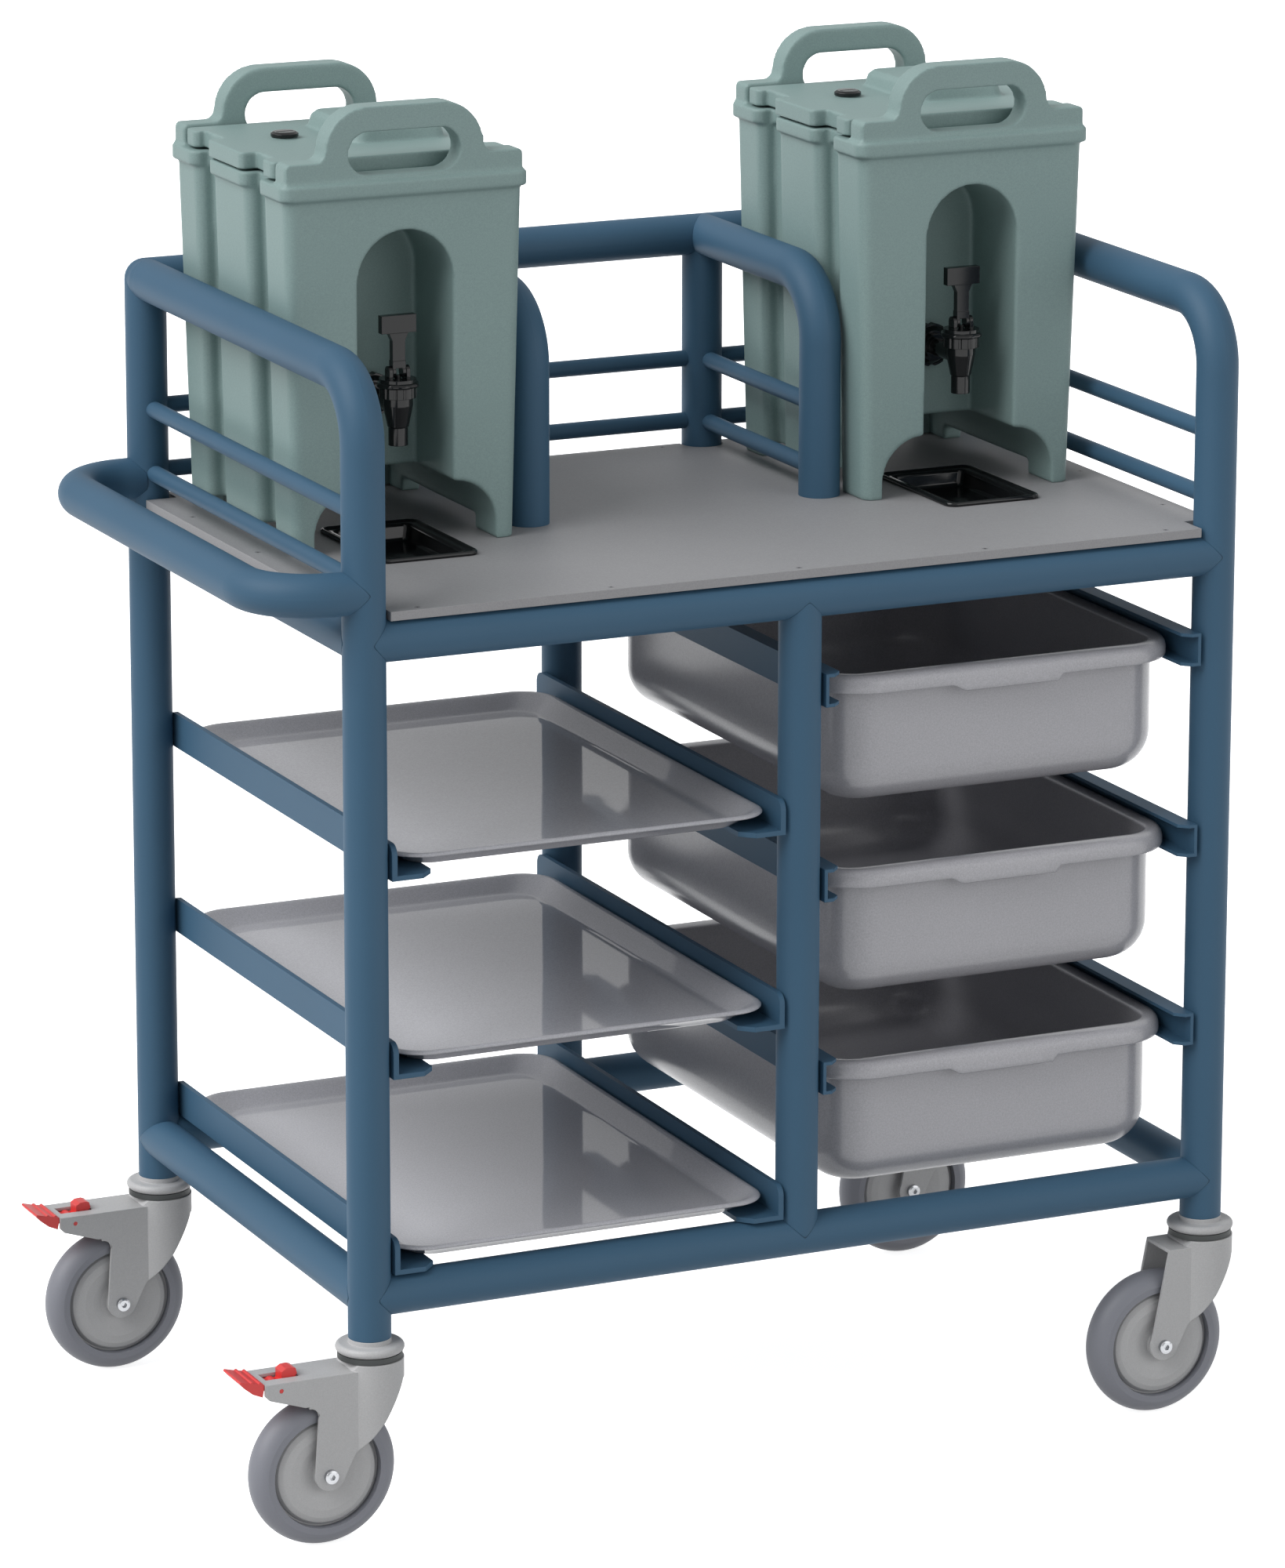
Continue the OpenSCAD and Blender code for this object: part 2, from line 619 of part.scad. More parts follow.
module tyre_ring() translate([-trail, 0, wheel_r]) along_y() rotate_extrude() {
    sag = 12;
    crown = (pow(tyre_w / 2, 2) + sag * sag) / (2 * sag);
    difference() {
        intersection() {
            translate([wheel_r - crown, 0]) circle(r = crown);
            translate([0, -tyre_w / 2]) square([wheel_r, tyre_w]);
        }
        translate([0, -tyre_w]) square([50.05, 2 * tyre_w]);
    }
}
module wheel_hub() translate([-trail, 0, wheel_r]) along_y() rotate_extrude() {
    bore = axle_d / 2 + run_gap;
    side = [[bore, fork_in - 0.4], [9, fork_in - 0.4], [9.4, 13.6], [13, 12.4], [18, 12.4], [26, 13.6],
        [34, 14.2], [41, 13.6], [45.5, 12], [48, 9], [48, 7.5], [50, 7.5]];
    polygon(concat(side, [for (i = [len(side) - 1:-1:0]) [side[i][0], -side[i][1]]]));
}
// Bolt with a socket head at the front and a nut at the back
module axle_bolt() translate([-trail, 0, wheel_r]) {
    difference() {
        union() {
            along_y() cylinder(h = fork_w + 8, d = axle_d, center = true);
            translate([0, -fork_half, 0]) rotate([90, 0, 0]) cylinder(h = 4, d = 12.5);
            translate([0, -fork_half - 4, 0]) rotate([90, 0, 0]) cylinder(h = 0.8, d1 = 12.5, d2 = 9);
            translate([0, fork_half, 0]) along_y() cylinder(h = 5.6, d = 14.5, $fn = 6);
        }
        translate([0, -fork_half - 6, 0]) along_y() cylinder(h = 4, d = 5.6, $fn = 6);
    }
}

module at_castor(sx, sy) placed([sx * post_x, sy * post_y, 0]) children();
module castor_fork_fl() at_castor(-1, -1) color(pearl) fork(true);
module castor_fork_bl() at_castor(-1, 1) color(pearl) fork(true);
module castor_fork_fr() at_castor(1, -1) color(pearl) fork(false);
module castor_fork_br() at_castor(1, 1) color(pearl) fork(false);
module castor_tyre_fl() at_castor(-1, -1) color(tyre_grey) tyre_ring();
module castor_tyre_bl() at_castor(-1, 1) color(tyre_grey) tyre_ring();
module castor_tyre_fr() at_castor(1, -1) color(tyre_grey) tyre_ring();
module castor_tyre_br() at_castor(1, 1) color(tyre_grey) tyre_ring();
module castor_hub_fl() at_castor(-1, -1) color(pearl) wheel_hub();
module castor_hub_bl() at_castor(-1, 1) color(pearl) wheel_hub();
module castor_hub_fr() at_castor(1, -1) color(pearl) wheel_hub();
module castor_hub_br() at_castor(1, 1) color(pearl) wheel_hub();
module castor_axle_fl() at_castor(-1, -1) color("silver") axle_bolt();
module castor_axle_bl() at_castor(-1, 1) color("silver") axle_bolt();
module castor_axle_fr() at_castor(1, -1) color("silver") axle_bolt();
module castor_axle_br() at_castor(1, 1) color("silver") axle_bolt();
module brake_pedal_fl() at_castor(-1, -1) color(pedal_red) brake_pedal();
module brake_pedal_bl() at_castor(-1, 1) color(pedal_red) brake_pedal();

// ---- urns; local origin on the urn's middle line at the deck, Y as the trolley's

// The urn's plan: a core with three lobes along each side
module urn_plan(hw, y0, y1, r, depth, grow = 0) {
    core = hw - depth;
    translate([0, (y0 + y1) / 2]) square([2 * core, y1 - y0 - 2 * r], center = true);
    for (lobe = [[y0, 11 + grow], [45 - grow, 130 + grow], [165 - grow, y1]])
        translate([0, (lobe[0] + lobe[1]) / 2]) round_rect(2 * hw, lobe[1] - lobe[0], r);
}

// A block whose half width and front and back edges change from foot to rim
module taper(hw0, hw1, y0, y1, r) hull() {
    translate([0, (y0[0] + y0[1]) / 2, 0]) linear_extrude(0.1) round_rect(2 * hw0, y0[1] - y0[0], r, $fn = 32);
    translate([0, (y1[0] + y1[1]) / 2, urn_rim_z + 4.9]) linear_extrude(0.1)
        round_rect(2 * hw1, y1[1] - y1[0], r, $fn = 32);
}

module urn_shell() {
    // tapered walls, wider at the rim: a core and three lobes
    taper(urn_half_w[0] - groove_d, urn_half_w[1] - groove_d, [urn_y[0] + 8, urn_y[1] - 8],
        [urn_y[0] + 4, urn_y[1] - 4], 2);
    taper(urn_half_w[0], urn_half_w[1], [urn_y[0], 11], [urn_y[0] - 4, 11], urn_corner_r);
    taper(urn_half_w[0], urn_half_w[1], [45, 130], [45, 130], urn_corner_r);
    taper(urn_half_w[0], urn_half_w[1], [165, urn_y[1]], [165, urn_y[1] + 4], urn_corner_r);
    // rim band
    translate([0, 0, urn_rim_z]) linear_extrude(urn_rim_h)
        urn_plan(urn_rim_half, urn_y[0] - 7.5, urn_y[1] + 7.5, urn_corner_r, groove_d + 1);
}

// Handle outline across the urn, standing on a block; x and height above the deck
module handle_outline(block_hw) {
    top = rim_top + 19.5;
    r = 40;
    f = 9;
    hw = handle_w / 2;
    hole_r = 19;
    grip_wall = 22.5;
    difference() {
        union() {
            translate([-block_hw, rim_top - 5]) square([2 * block_hw, top - rim_top]);
            translate([-block_hw + 5, top - 8]) square([2 * block_hw - 10, 8]);
            for (s = [-1, 1]) translate([s * (block_hw - 5), top - 5]) circle(r = 5);
            translate([-hw, rim_top + 2]) square([2 * hw, handle_top - r - rim_top - 2]);
            translate([-hw + r, rim_top + 4]) square([2 * (hw - r), handle_top - rim_top - 4]);
            for (s = [-1, 1]) translate([s * (hw - r), handle_top - r]) circle(r = r);
            // foot fillets
            for (s = [-1, 1]) difference() {
                translate([s * (hw + f / 2 - 1), top + f / 2 - 1]) square([f + 2, f + 2], center = true);
                translate([s * (hw + f), top + f]) circle(r = f);
            }
        }
        for (s = [-1, 1]) translate([s * (hw - grip_wall - hole_r), handle_top - grip_wall - hole_r])
            circle(r = hole_r);
        translate([-(hw - grip_wall - hole_r), handle_top - grip_wall - 2 * hole_r])
            square([2 * (hw - grip_wall - hole_r), 2 * hole_r]);
    }
}
front_block = [-45, -20];
rear_block = [197, 220];

// Arched passage under the urn, across the urn
module passage_outline() {
    leg = 87;
    r = leg - recess_half_w;
    translate([-recess_half_w, -1]) square([2 * recess_half_w, passage_h + 1]);
    translate([-leg, -1]) square([2 * leg, passage_h - r + 1]);
    for (s = [-1, 1]) translate([s * recess_half_w, passage_h - r]) intersection() {
        circle(r = r);
        translate([-r - 1, -10]) square([2 * r + 2, r + 20]);
    }
}

module urn_body(x) placed([x, urn_oy, deck_z + 0.05]) color(urn_green) difference() {
    union() {
        urn_shell();
        for (b = [front_block, rear_block]) translate([0, b[1], 0]) rotate([90, 0, 0])
            linear_extrude(b[1] - b[0]) handle_outline(urn_half_w[1]);
    }
    // tap recess with a round crown
    translate([0, recess_y, 0]) rotate([90, 0, 0]) linear_extrude(recess_d + 20) {
        translate([-recess_half_w, -1]) square([2 * recess_half_w, recess_top - recess_half_w + 1]);
        translate([0, recess_top - recess_half_w]) circle(r = recess_half_w);
    }
    // passage and feet
    translate([0, urn_y[1] + 20, 0]) rotate([90, 0, 0]) linear_extrude(2 * urn_half_l + 60) passage_outline();
    translate([-200, urn_y[0] + 48, -1]) cube([400, 2 * urn_half_l - 48 - 40, 1 + 13]);
    // liner behind the recess and the wide mouth over it
    translate([0, (recess_y + 18 + 196) / 2, 72]) linear_extrude(rim_top)
        round_rect(2 * 78, 196 - recess_y - 18, 14);
    translate([0, (mouth[1] + mouth[2]) / 2, recess_top + 17]) linear_extrude(rim_top)
        round_rect(2 * mouth[0], mouth[2] - mouth[1], 14);
    // hole for the tap's shank
    translate([0, recess_y - 1, tap_axis_z]) along_y() cylinder(h = 30, r = 8.1);
}
module urn_body_left() urn_body(urn_pos[0]);
module urn_body_right() urn_body(urn_pos[1]);

// Lid: a lobed plate with a plug below and a low boss on top
plug_bottom = recess_top + 20;
boss_z = lid_top + 15;
vent_at = [-51.5, 108];
module urn_lid(x) placed([x, urn_oy, deck_z + 0.05]) color(urn_green) difference() {
    union() {
        translate([0, 0, lid_z]) linear_extrude(lid_top - lid_z) {
            translate([0, (lid_y[0] + lid_y[1]) / 2]) round_rect(204, lid_y[1] - lid_y[0], 8);
            translate([0, 0.5]) round_rect(2 * urn_half_w[1] - 2, 25, 6);
            translate([0, 88.5]) round_rect(2 * urn_rim_half, 81, 6);
            translate([0, 183.75]) round_rect(2 * urn_half_w[1] - 2, 23.5, 6);
        }
        translate([0, (mouth[1] + mouth[2]) / 2, plug_bottom]) linear_extrude(lid_z - plug_bottom + 1)
            round_rect(2 * mouth[0] - 6, mouth[2] - mouth[1] - 6, 11);
        // shoulder that rests on the rim round the mouth
        translate([0, (mouth[1] + mouth[2]) / 2, rim_top + 0.2]) linear_extrude(lid_z - rim_top)
            round_rect(2 * mouth[0] + 10, mouth[2] - mouth[1] + 8, 12);
        hull() {
            translate([36, 107.5, lid_top - 1]) linear_extrude(1.1) round_rect(92, 121, 14, $fn = 32);
            translate([36, 107.5, lid_top + 4]) linear_extrude(7) round_rect(86, 115, 13, $fn = 32);
            translate([36, 107.5, boss_z - 0.2]) linear_extrude(0.2) round_rect(76, 105, 9, $fn = 32);
        }
        translate([vent_at[0], vent_at[1], lid_top - 1]) cylinder(h = 2.4, d = 21);
    }
    // shallow pockets that end in the side grooves
    for (s = [-1, 1], y = [28, 147.5]) translate([s * 104, y, lid_top + 2]) rotate([0, s * 22, 0])
        cube([26, 20, 7], center = true);
    translate([vent_at[0], vent_at[1], 200]) cylinder(h = 300, r = 3);
    // seat for the gasket round the plug
    translate([0, (mouth[1] + mouth[2]) / 2, plug_bottom + 8]) linear_extrude(5) difference() {
        round_rect(2 * mouth[0] + 6, mouth[2] - mouth[1] + 6, 12);
        round_rect(2 * mouth[0] - 12, mouth[2] - mouth[1] - 12, 8);
    }
}
module urn_lid_left() urn_lid(urn_pos[0]);
module urn_lid_right() urn_lid(urn_pos[1]);

module lid_gasket(x) placed([x, urn_oy + (mouth[1] + mouth[2]) / 2, deck_z + 0.05 + plug_bottom + 8.1])
    color([0.25, 0.26, 0.26]) linear_extrude(4.8) difference() {
        round_rect(2 * mouth[0] - 0.8, mouth[2] - mouth[1] - 0.8, 13.6);
        round_rect(2 * mouth[0] - 11.8, mouth[2] - mouth[1] - 11.8, 8.1);
    }
module lid_gasket_left() lid_gasket(urn_pos[0]);
module lid_gasket_right() lid_gasket(urn_pos[1]);

module vent_cap(x) placed([x + vent_at[0], urn_oy + vent_at[1], deck_z + 0.05 + lid_top]) color(tap_black) {
    translate([0, 0, 1.6]) difference() {
        union() {
            cylinder(h = 2.6, d = 25);
            translate([0, 0, 2.6]) cylinder(h = 1.6, d1 = 25, d2 = 20);
        }
        translate([0, 0, 3.2]) cube([16, 2.4, 2.2], center = true);
    }
    translate([0, 0, -14]) cylinder(h = 16, d = 5.7);
}
module vent_cap_left() vent_cap(urn_pos[0]);
module vent_cap_right() vent_cap(urn_pos[1]);

// ---- taps; local origin on the tap's upright axis at the deck

module at_tap(x) placed([x, urn_oy + tap_y, deck_z + 0.05]) children();
cap_z = tap_z + 9;

module tap_body(x) at_tap(x) color(tap_black) {
    difference() {
        // spout and valve chamber with the seat for the stem's cup
        rotate_extrude() polygon([[5.5, tap_z - 34], [spout_d / 2, tap_z - 34], [spout_d / 2, tap_z - 18],
            [spout_d / 2 + 0.8, tap_z - 17], [13.5, tap_z + 2], [13.5, cap_z], [10.5, cap_z],
            [10.5, tap_z - 5], [5.5, tap_z - 9]]);
        translate([0, 4, tap_z]) along_y() cylinder(h = 14, d = 8.2);
    }
    // threaded shank with its collar
    translate([0, 10.7, tap_z]) along_y() difference() {
        union() {
            cylinder(h = recess_y - tap_y + 13.3, r = 8);
            translate([0, 0, recess_y - tap_y - 30.7]) cylinder(h = 5, r = 12);
        }
        translate([0, 0, -1]) cylinder(h = 120, d = 9);
    }
}
module tap_body_left() tap_body(urn_pos[0]);
module tap_body_right() tap_body(urn_pos[1]);

// Scalloped nut that draws the tap to the wall of the recess
module tap_nut(x) placed([x, urn_oy + recess_y - 0.05, deck_z + 0.05 + tap_z]) color(tap_black) difference() {
    union() {
        rotate([90, 0, 0]) cylinder(h = 9, d = 40);
        translate([0, -9, 0]) rotate([90, 0, 0]) cylinder(h = 5, d1 = 36, d2 = 28);
    }
    for (a = [0:45:315]) rotate([0, a, 0]) translate([23, 5, 0]) rotate([90, 0, 0]) cylinder(h = 30, d = 9);
    translate([0, 5, 0]) rotate([90, 0, 0]) cylinder(h = 30, r = 8.02);
}
module tap_nut_left() tap_nut(urn_pos[0]);
module tap_nut_right() tap_nut(urn_pos[1]);

// Cap screwed on the body, with two ears for the lever
module tap_bonnet(x) at_tap(x) color(tap_black) difference() {
    union() {
        translate([0, 0, cap_z + 0.05]) cylinder(h = 17, d = bonnet_d);
        for (s = [-1, 1]) translate([s * 8.3, 0, 0]) {
            translate([-1.7, -5.5, cap_z + 16]) cube([3.4, 11, lever_pivot_z - cap_z - 16]);
            translate([-1.7, 0, lever_pivot_z]) rotate([0, 90, 0]) cylinder(h = 3.4, r = 5.5);
        }
    }
    translate([0, 0, cap_z - 1]) cylinder(h = 13, d = 21);
    translate([0, 0, cap_z]) cylinder(h = 30, d = 5.2);
    translate([0, 0, lever_pivot_z]) rotate([0, 90, 0]) cylinder(h = 40, d = 4.1, center = true);
    for (a = [0:30:330]) rotate([0, 0, a]) translate([bonnet_d / 2 + 1, 0, cap_z - 1])
        cylinder(h = 11, d = 4);
}
module tap_bonnet_left() tap_bonnet(urn_pos[0]);
module tap_bonnet_right() tap_bonnet(urn_pos[1]);

// Stem with the seat cup that closes the spout
module tap_stem(x) at_tap(x) color([0.3, 0.3, 0.3]) {
    rotate_extrude() polygon([[0, tap_z - 8.4], [6, tap_z - 8.4], [9.6, tap_z - 5.4], [9.6, tap_z - 3],
        [2.5, tap_z - 3], [2.5, lever_pivot_z - 3], [0, lever_pivot_z - 3]]);
}
module tap_stem_left() tap_stem(urn_pos[0]);
module tap_stem_right() tap_stem(urn_pos[1]);

module tap_lever(x) at_tap(x) color(tap_black) translate([0, 0, lever_pivot_z]) difference() {
    union() {
        translate([-6.2, 0, 0]) rotate([0, 90, 0]) cylinder(h = 12.4, r = 5.2);
        translate([0, 0, 0]) rotate([0, 90, 0]) cylinder(h = 19.6, d = 4, center = true);
        translate([0, 0, 5]) cube([12.4, 8.4, 10], center = true);
        translate([-6, -3.5, 8]) cube([12, 7, 30]);
        // shoulders under the cross piece
        translate([0, 3.5, 0]) rotate([90, 0, 0]) linear_extrude(7) polygon([
            [-6, 28], [-9.5, 35.5], [-9.5, 38], [9.5, 38], [9.5, 35.5], [6, 28]]);
        translate([-lever_w / 2, -4, 35]) cube([lever_w, 8, 16]);
    }
    translate([-3.2, -8, -8]) cube([6.4, 16, 11.5]);
}
module tap_lever_left() tap_lever(urn_pos[0]);
module tap_lever_right() tap_lever(urn_pos[1]);

corner_posts_front();
corner_posts_back();
centre_posts();
guard_rail_back();
guard_bars();
divider_hoops();
divider_posts();
deck_rails();
base_rails();
push_handle();
deck_board();
deck_screws();
tray_runners();
tub_channels();
castor_stems();
castor_seals();
castor_fork_fl();
castor_fork_bl();
castor_fork_fr();
castor_fork_br();
castor_tyre_fl();
castor_tyre_bl();
castor_tyre_fr();
castor_tyre_br();
castor_hub_fl();
castor_hub_bl();
castor_hub_fr();
castor_hub_br();
castor_axle_fl();
castor_axle_bl();
castor_axle_fr();
castor_axle_br();
brake_pedal_fl();
brake_pedal_bl();
tray_top();
tray_middle();
tray_bottom();
tub_top();
tub_middle();
tub_bottom();
drip_pan_left();
drip_pan_right();
urn_body_left();
urn_body_right();
urn_lid_left();
urn_lid_right();
lid_gasket_left();
lid_gasket_right();
vent_cap_left();
vent_cap_right();
tap_body_left();
tap_body_right();
tap_nut_left();
tap_nut_right();
tap_bonnet_left();
tap_bonnet_right();
tap_stem_left();
tap_stem_right();
tap_lever_left();
tap_lever_right();
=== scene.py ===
"""Looks of the urn trolley: camera, light, floor, paint and plastic finishes, and moulded pieces.

Lengths of the trolley's pieces are in millimetres, and MM turns them into the frame's metres where
a mesh is made. The camera's place and the floor are in metres.
"""
import json
import math

import bpy
import numpy as np
from mathutils import Matrix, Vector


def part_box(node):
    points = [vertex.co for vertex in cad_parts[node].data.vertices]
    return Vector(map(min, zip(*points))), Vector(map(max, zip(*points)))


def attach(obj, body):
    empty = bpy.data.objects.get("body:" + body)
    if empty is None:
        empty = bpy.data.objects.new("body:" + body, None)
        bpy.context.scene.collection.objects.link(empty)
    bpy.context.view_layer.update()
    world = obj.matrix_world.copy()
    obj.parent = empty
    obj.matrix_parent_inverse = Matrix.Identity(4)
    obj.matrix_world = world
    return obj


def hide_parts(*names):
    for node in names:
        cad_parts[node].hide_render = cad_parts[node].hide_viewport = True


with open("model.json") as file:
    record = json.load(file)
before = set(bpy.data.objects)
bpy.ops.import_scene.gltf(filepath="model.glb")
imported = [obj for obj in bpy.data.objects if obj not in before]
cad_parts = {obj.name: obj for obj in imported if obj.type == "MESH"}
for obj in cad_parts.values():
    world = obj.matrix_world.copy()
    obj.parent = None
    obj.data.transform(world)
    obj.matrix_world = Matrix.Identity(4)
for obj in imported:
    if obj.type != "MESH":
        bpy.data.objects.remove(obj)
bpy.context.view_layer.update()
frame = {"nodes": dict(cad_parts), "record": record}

MM = 0.001
FULL_TURN = 2.0 * math.pi
TUBE_RADIUS = 19.05
SIDES = ("left", "right")
LEVELS = ("top", "middle", "bottom")

# numbers of a colour Mix node's sockets, whose labels repeat for every kind of value
FIRST_COLOUR, SECOND_COLOUR, MIXED_COLOUR = 6, 7, 2
WHITE = (1.0, 1.0, 1.0, 1.0)


# ---- shader parts

def add_node(tree, kind, **settings):
    """A shader node with its settings; a name that starts with in_ sets an input by its label."""
    made = tree.nodes.new(kind)
    for key, value in settings.items():
        if key.startswith("in_"):
            made.inputs[key[3:].replace("_", " ")].default_value = value
        else:
            setattr(made, key, value)
    return made


def maths(tree, operation, first, second):
    """One sum on two values, each a socket or a number."""
    made = add_node(tree, "ShaderNodeMath", operation=operation)
    for socket, value in zip(made.inputs, (first, second)):
        if isinstance(value, (int, float)):
            socket.default_value = value
        else:
            tree.links.new(value, socket)
    return made.outputs[0]


def blended(tree, mask, first, second):
    """Two colours mixed by a mask; each is a socket or a colour."""
    made = add_node(tree, "ShaderNodeMix", data_type="RGBA")
    tree.links.new(mask, made.inputs["Factor"])
    for number, value in ((FIRST_COLOUR, first), (SECOND_COLOUR, second)):
        if isinstance(value, tuple):
            made.inputs[number].default_value = value
        else:
            tree.links.new(value, made.inputs[number])
    return made.outputs[MIXED_COLOUR]


def multiplied(tree, first, second):
    """Two colour sockets multiplied."""
    made = add_node(tree, "ShaderNodeMix", data_type="RGBA", blend_type="MULTIPLY", in_Factor=1.0)
    tree.links.new(first, made.inputs[FIRST_COLOUR])
    tree.links.new(second, made.inputs[SECOND_COLOUR])
    return made.outputs[MIXED_COLOUR]


def mixed_shaders(tree, mask, first, second):
    """Two lights of the world mixed by a mask."""
    made = tree.nodes.new("ShaderNodeMixShader")
    for socket, source in zip(made.inputs, (mask, first.outputs[0], second.outputs[0])):
        tree.links.new(source, socket)
    return made


def clamped(tree, value):
    """A value held between 0 and 1."""
    made = tree.nodes.new("ShaderNodeClamp")
    tree.links.new(value, made.inputs[0])
    return made.outputs[0]


def toned(colour, factor):
    """A colour made lighter or darker by a factor, with alpha."""
    return tuple(min(1.0, c * factor) for c in colour) + (1.0,)


def new_group(name, ins, outs):
    """An empty node group with its named inputs, as (label, default), and outputs, as (label,
    kind)."""
    tree = bpy.data.node_groups.new(name, "ShaderNodeTree")
    for label, default in ins:
        socket = tree.interface.new_socket(label, in_out="INPUT", socket_type="NodeSocketFloat")
        socket.default_value = default
    for label, kind in outs:
        tree.interface.new_socket(label, in_out="OUTPUT", socket_type=kind)
    return tree, tree.nodes.new("NodeGroupInput"), tree.nodes.new("NodeGroupOutput")


def placed_group(tree, group, **values):
    """A node group in a material, with its values."""
    made = add_node(tree, "ShaderNodeGroup", node_tree=group)
    for label, value in values.items():
        made.inputs[label].default_value = value
    return made


def grain_group():
    """Moulded or painted grain: two sizes of noise, evened out, as a mask from 0 to 1 and a
    height."""
    tree, inside, outside = new_group(
        "fine_grain", [("Scale", 900.0), ("Contrast", 1.6)],
        [("Mask", "NodeSocketFloat"), ("Height", "NodeSocketFloat")])
    place = tree.nodes.new("ShaderNodeTexCoord")
    coarse = add_node(tree, "ShaderNodeTexNoise", in_Detail=2.0, in_Roughness=0.6)
    fine = add_node(tree, "ShaderNodeTexNoise", in_Detail=1.0, in_Roughness=0.5)
    for noise, finer in ((coarse, 1.0), (fine, 2.6)):
        tree.links.new(place.outputs["Object"], noise.inputs["Vector"])
        size = maths(tree, "MULTIPLY", inside.outputs["Scale"], finer)
        tree.links.new(size, noise.inputs["Scale"])
    both = maths(tree, "ADD", coarse.outputs[0], fine.outputs[0])
    centred = maths(tree, "SUBTRACT", maths(tree, "MULTIPLY", both, 0.5), 0.5)
    spread = maths(tree, "MULTIPLY", centred, inside.outputs["Contrast"])
    tree.links.new(clamped(tree, maths(tree, "ADD", spread, 0.5)), outside.inputs["Mask"])
    tree.links.new(both, outside.inputs["Height"])
    return tree


def mottle_group():
    """Slow drift of tone over a hand's width, as a mask from 0 to 1."""
    tree, inside, outside = new_group(
        "slow_mottle", [("Scale", 9.0)], [("Mask", "NodeSocketFloat")])
    place = tree.nodes.new("ShaderNodeTexCoord")
    noise = add_node(tree, "ShaderNodeTexNoise", in_Detail=3.0, in_Roughness=0.55,
                     in_Distortion=0.4)
    tree.links.new(place.outputs["Object"], noise.inputs["Vector"])
    tree.links.new(inside.outputs["Scale"], noise.inputs["Scale"])
    tree.links.new(noise.outputs[0], outside.inputs["Mask"])
    return tree


def edge_group():
    """Rounded edges for light: the normal turned over a small radius, and a mask that is 1 on the
    edge, from four times one minus the cosine between the turned and the true normal. The mask also
    places the painted edge highlight in a finish's colour."""
    tree, inside, outside = new_group(
        "rounded_edge", [("Radius", 0.001)],
        [("Normal", "NodeSocketVector"), ("Mask", "NodeSocketFloat")])
    bevel = add_node(tree, "ShaderNodeBevel", samples=4)
    tree.links.new(inside.outputs["Radius"], bevel.inputs["Radius"])
    flat = tree.nodes.new("ShaderNodeNewGeometry")
    along = add_node(tree, "ShaderNodeVectorMath", operation="DOT_PRODUCT")
    tree.links.new(bevel.outputs[0], along.inputs[0])
    tree.links.new(flat.outputs["Normal"], along.inputs[1])
    apart = maths(tree, "MULTIPLY", maths(tree, "SUBTRACT", 1.0, along.outputs["Value"]), 4.0)
    tree.links.new(bevel.outputs[0], outside.inputs["Normal"])
    tree.links.new(clamped(tree, apart), outside.inputs["Mask"])
    return tree


GRAIN = grain_group()
MOTTLE = mottle_group()
EDGE = edge_group()


def finish(name, colour, roughness, grain, speckle, bump=0.1, depth=0.1, mottle=0.05, edge=0.0,
           edge_highlight=1.15, gloss_change=0.08, **sockets):
    """One finish: base colour with slow mottle, darker speckle and a painted highlight on rounded
    edges, and roughness and bump from the grain. Grain is in cells to the metre, depth and edge are
    in millimetres, and sockets are the shader's own."""
    material = bpy.data.materials.new(name)
    material.use_nodes = True
    tree = material.node_tree
    shade = tree.nodes["Principled BSDF"]
    for label, value in sockets.items():
        shade.inputs[label.replace("_", " ")].default_value = value
    fine = placed_group(tree, GRAIN, Scale=grain)
    slow = placed_group(tree, MOTTLE)
    drift = blended(tree, slow.outputs["Mask"], toned(colour, 1.0 - mottle),
                    toned(colour, 1.0 + mottle))
    tint = blended(tree, fine.outputs["Mask"], toned(WHITE[:3], 1.0 - speckle), WHITE)
    tone = multiplied(tree, drift, tint)
    centred = maths(tree, "SUBTRACT", fine.outputs["Mask"], 0.5)
    change = maths(tree, "MULTIPLY", centred, gloss_change)
    tree.links.new(maths(tree, "ADD", change, roughness), shade.inputs["Roughness"])
    relief = add_node(tree, "ShaderNodeBump", in_Strength=bump, in_Distance=depth * MM)
    tree.links.new(fine.outputs["Height"], relief.inputs["Height"])
    if edge > 0.0:
        rim = placed_group(tree, EDGE, Radius=edge * MM)
        tree.links.new(rim.outputs["Normal"], relief.inputs["Normal"])
        # painted highlight: the base colour is made lighter on rounded edges, where the edge mask is
        # 1
        tone = blended(tree, rim.outputs["Mask"], tone, toned(colour, edge_highlight))
    tree.links.new(tone, shade.inputs["Base Color"])
    tree.links.new(relief.outputs[0], shade.inputs["Normal"])
    return material
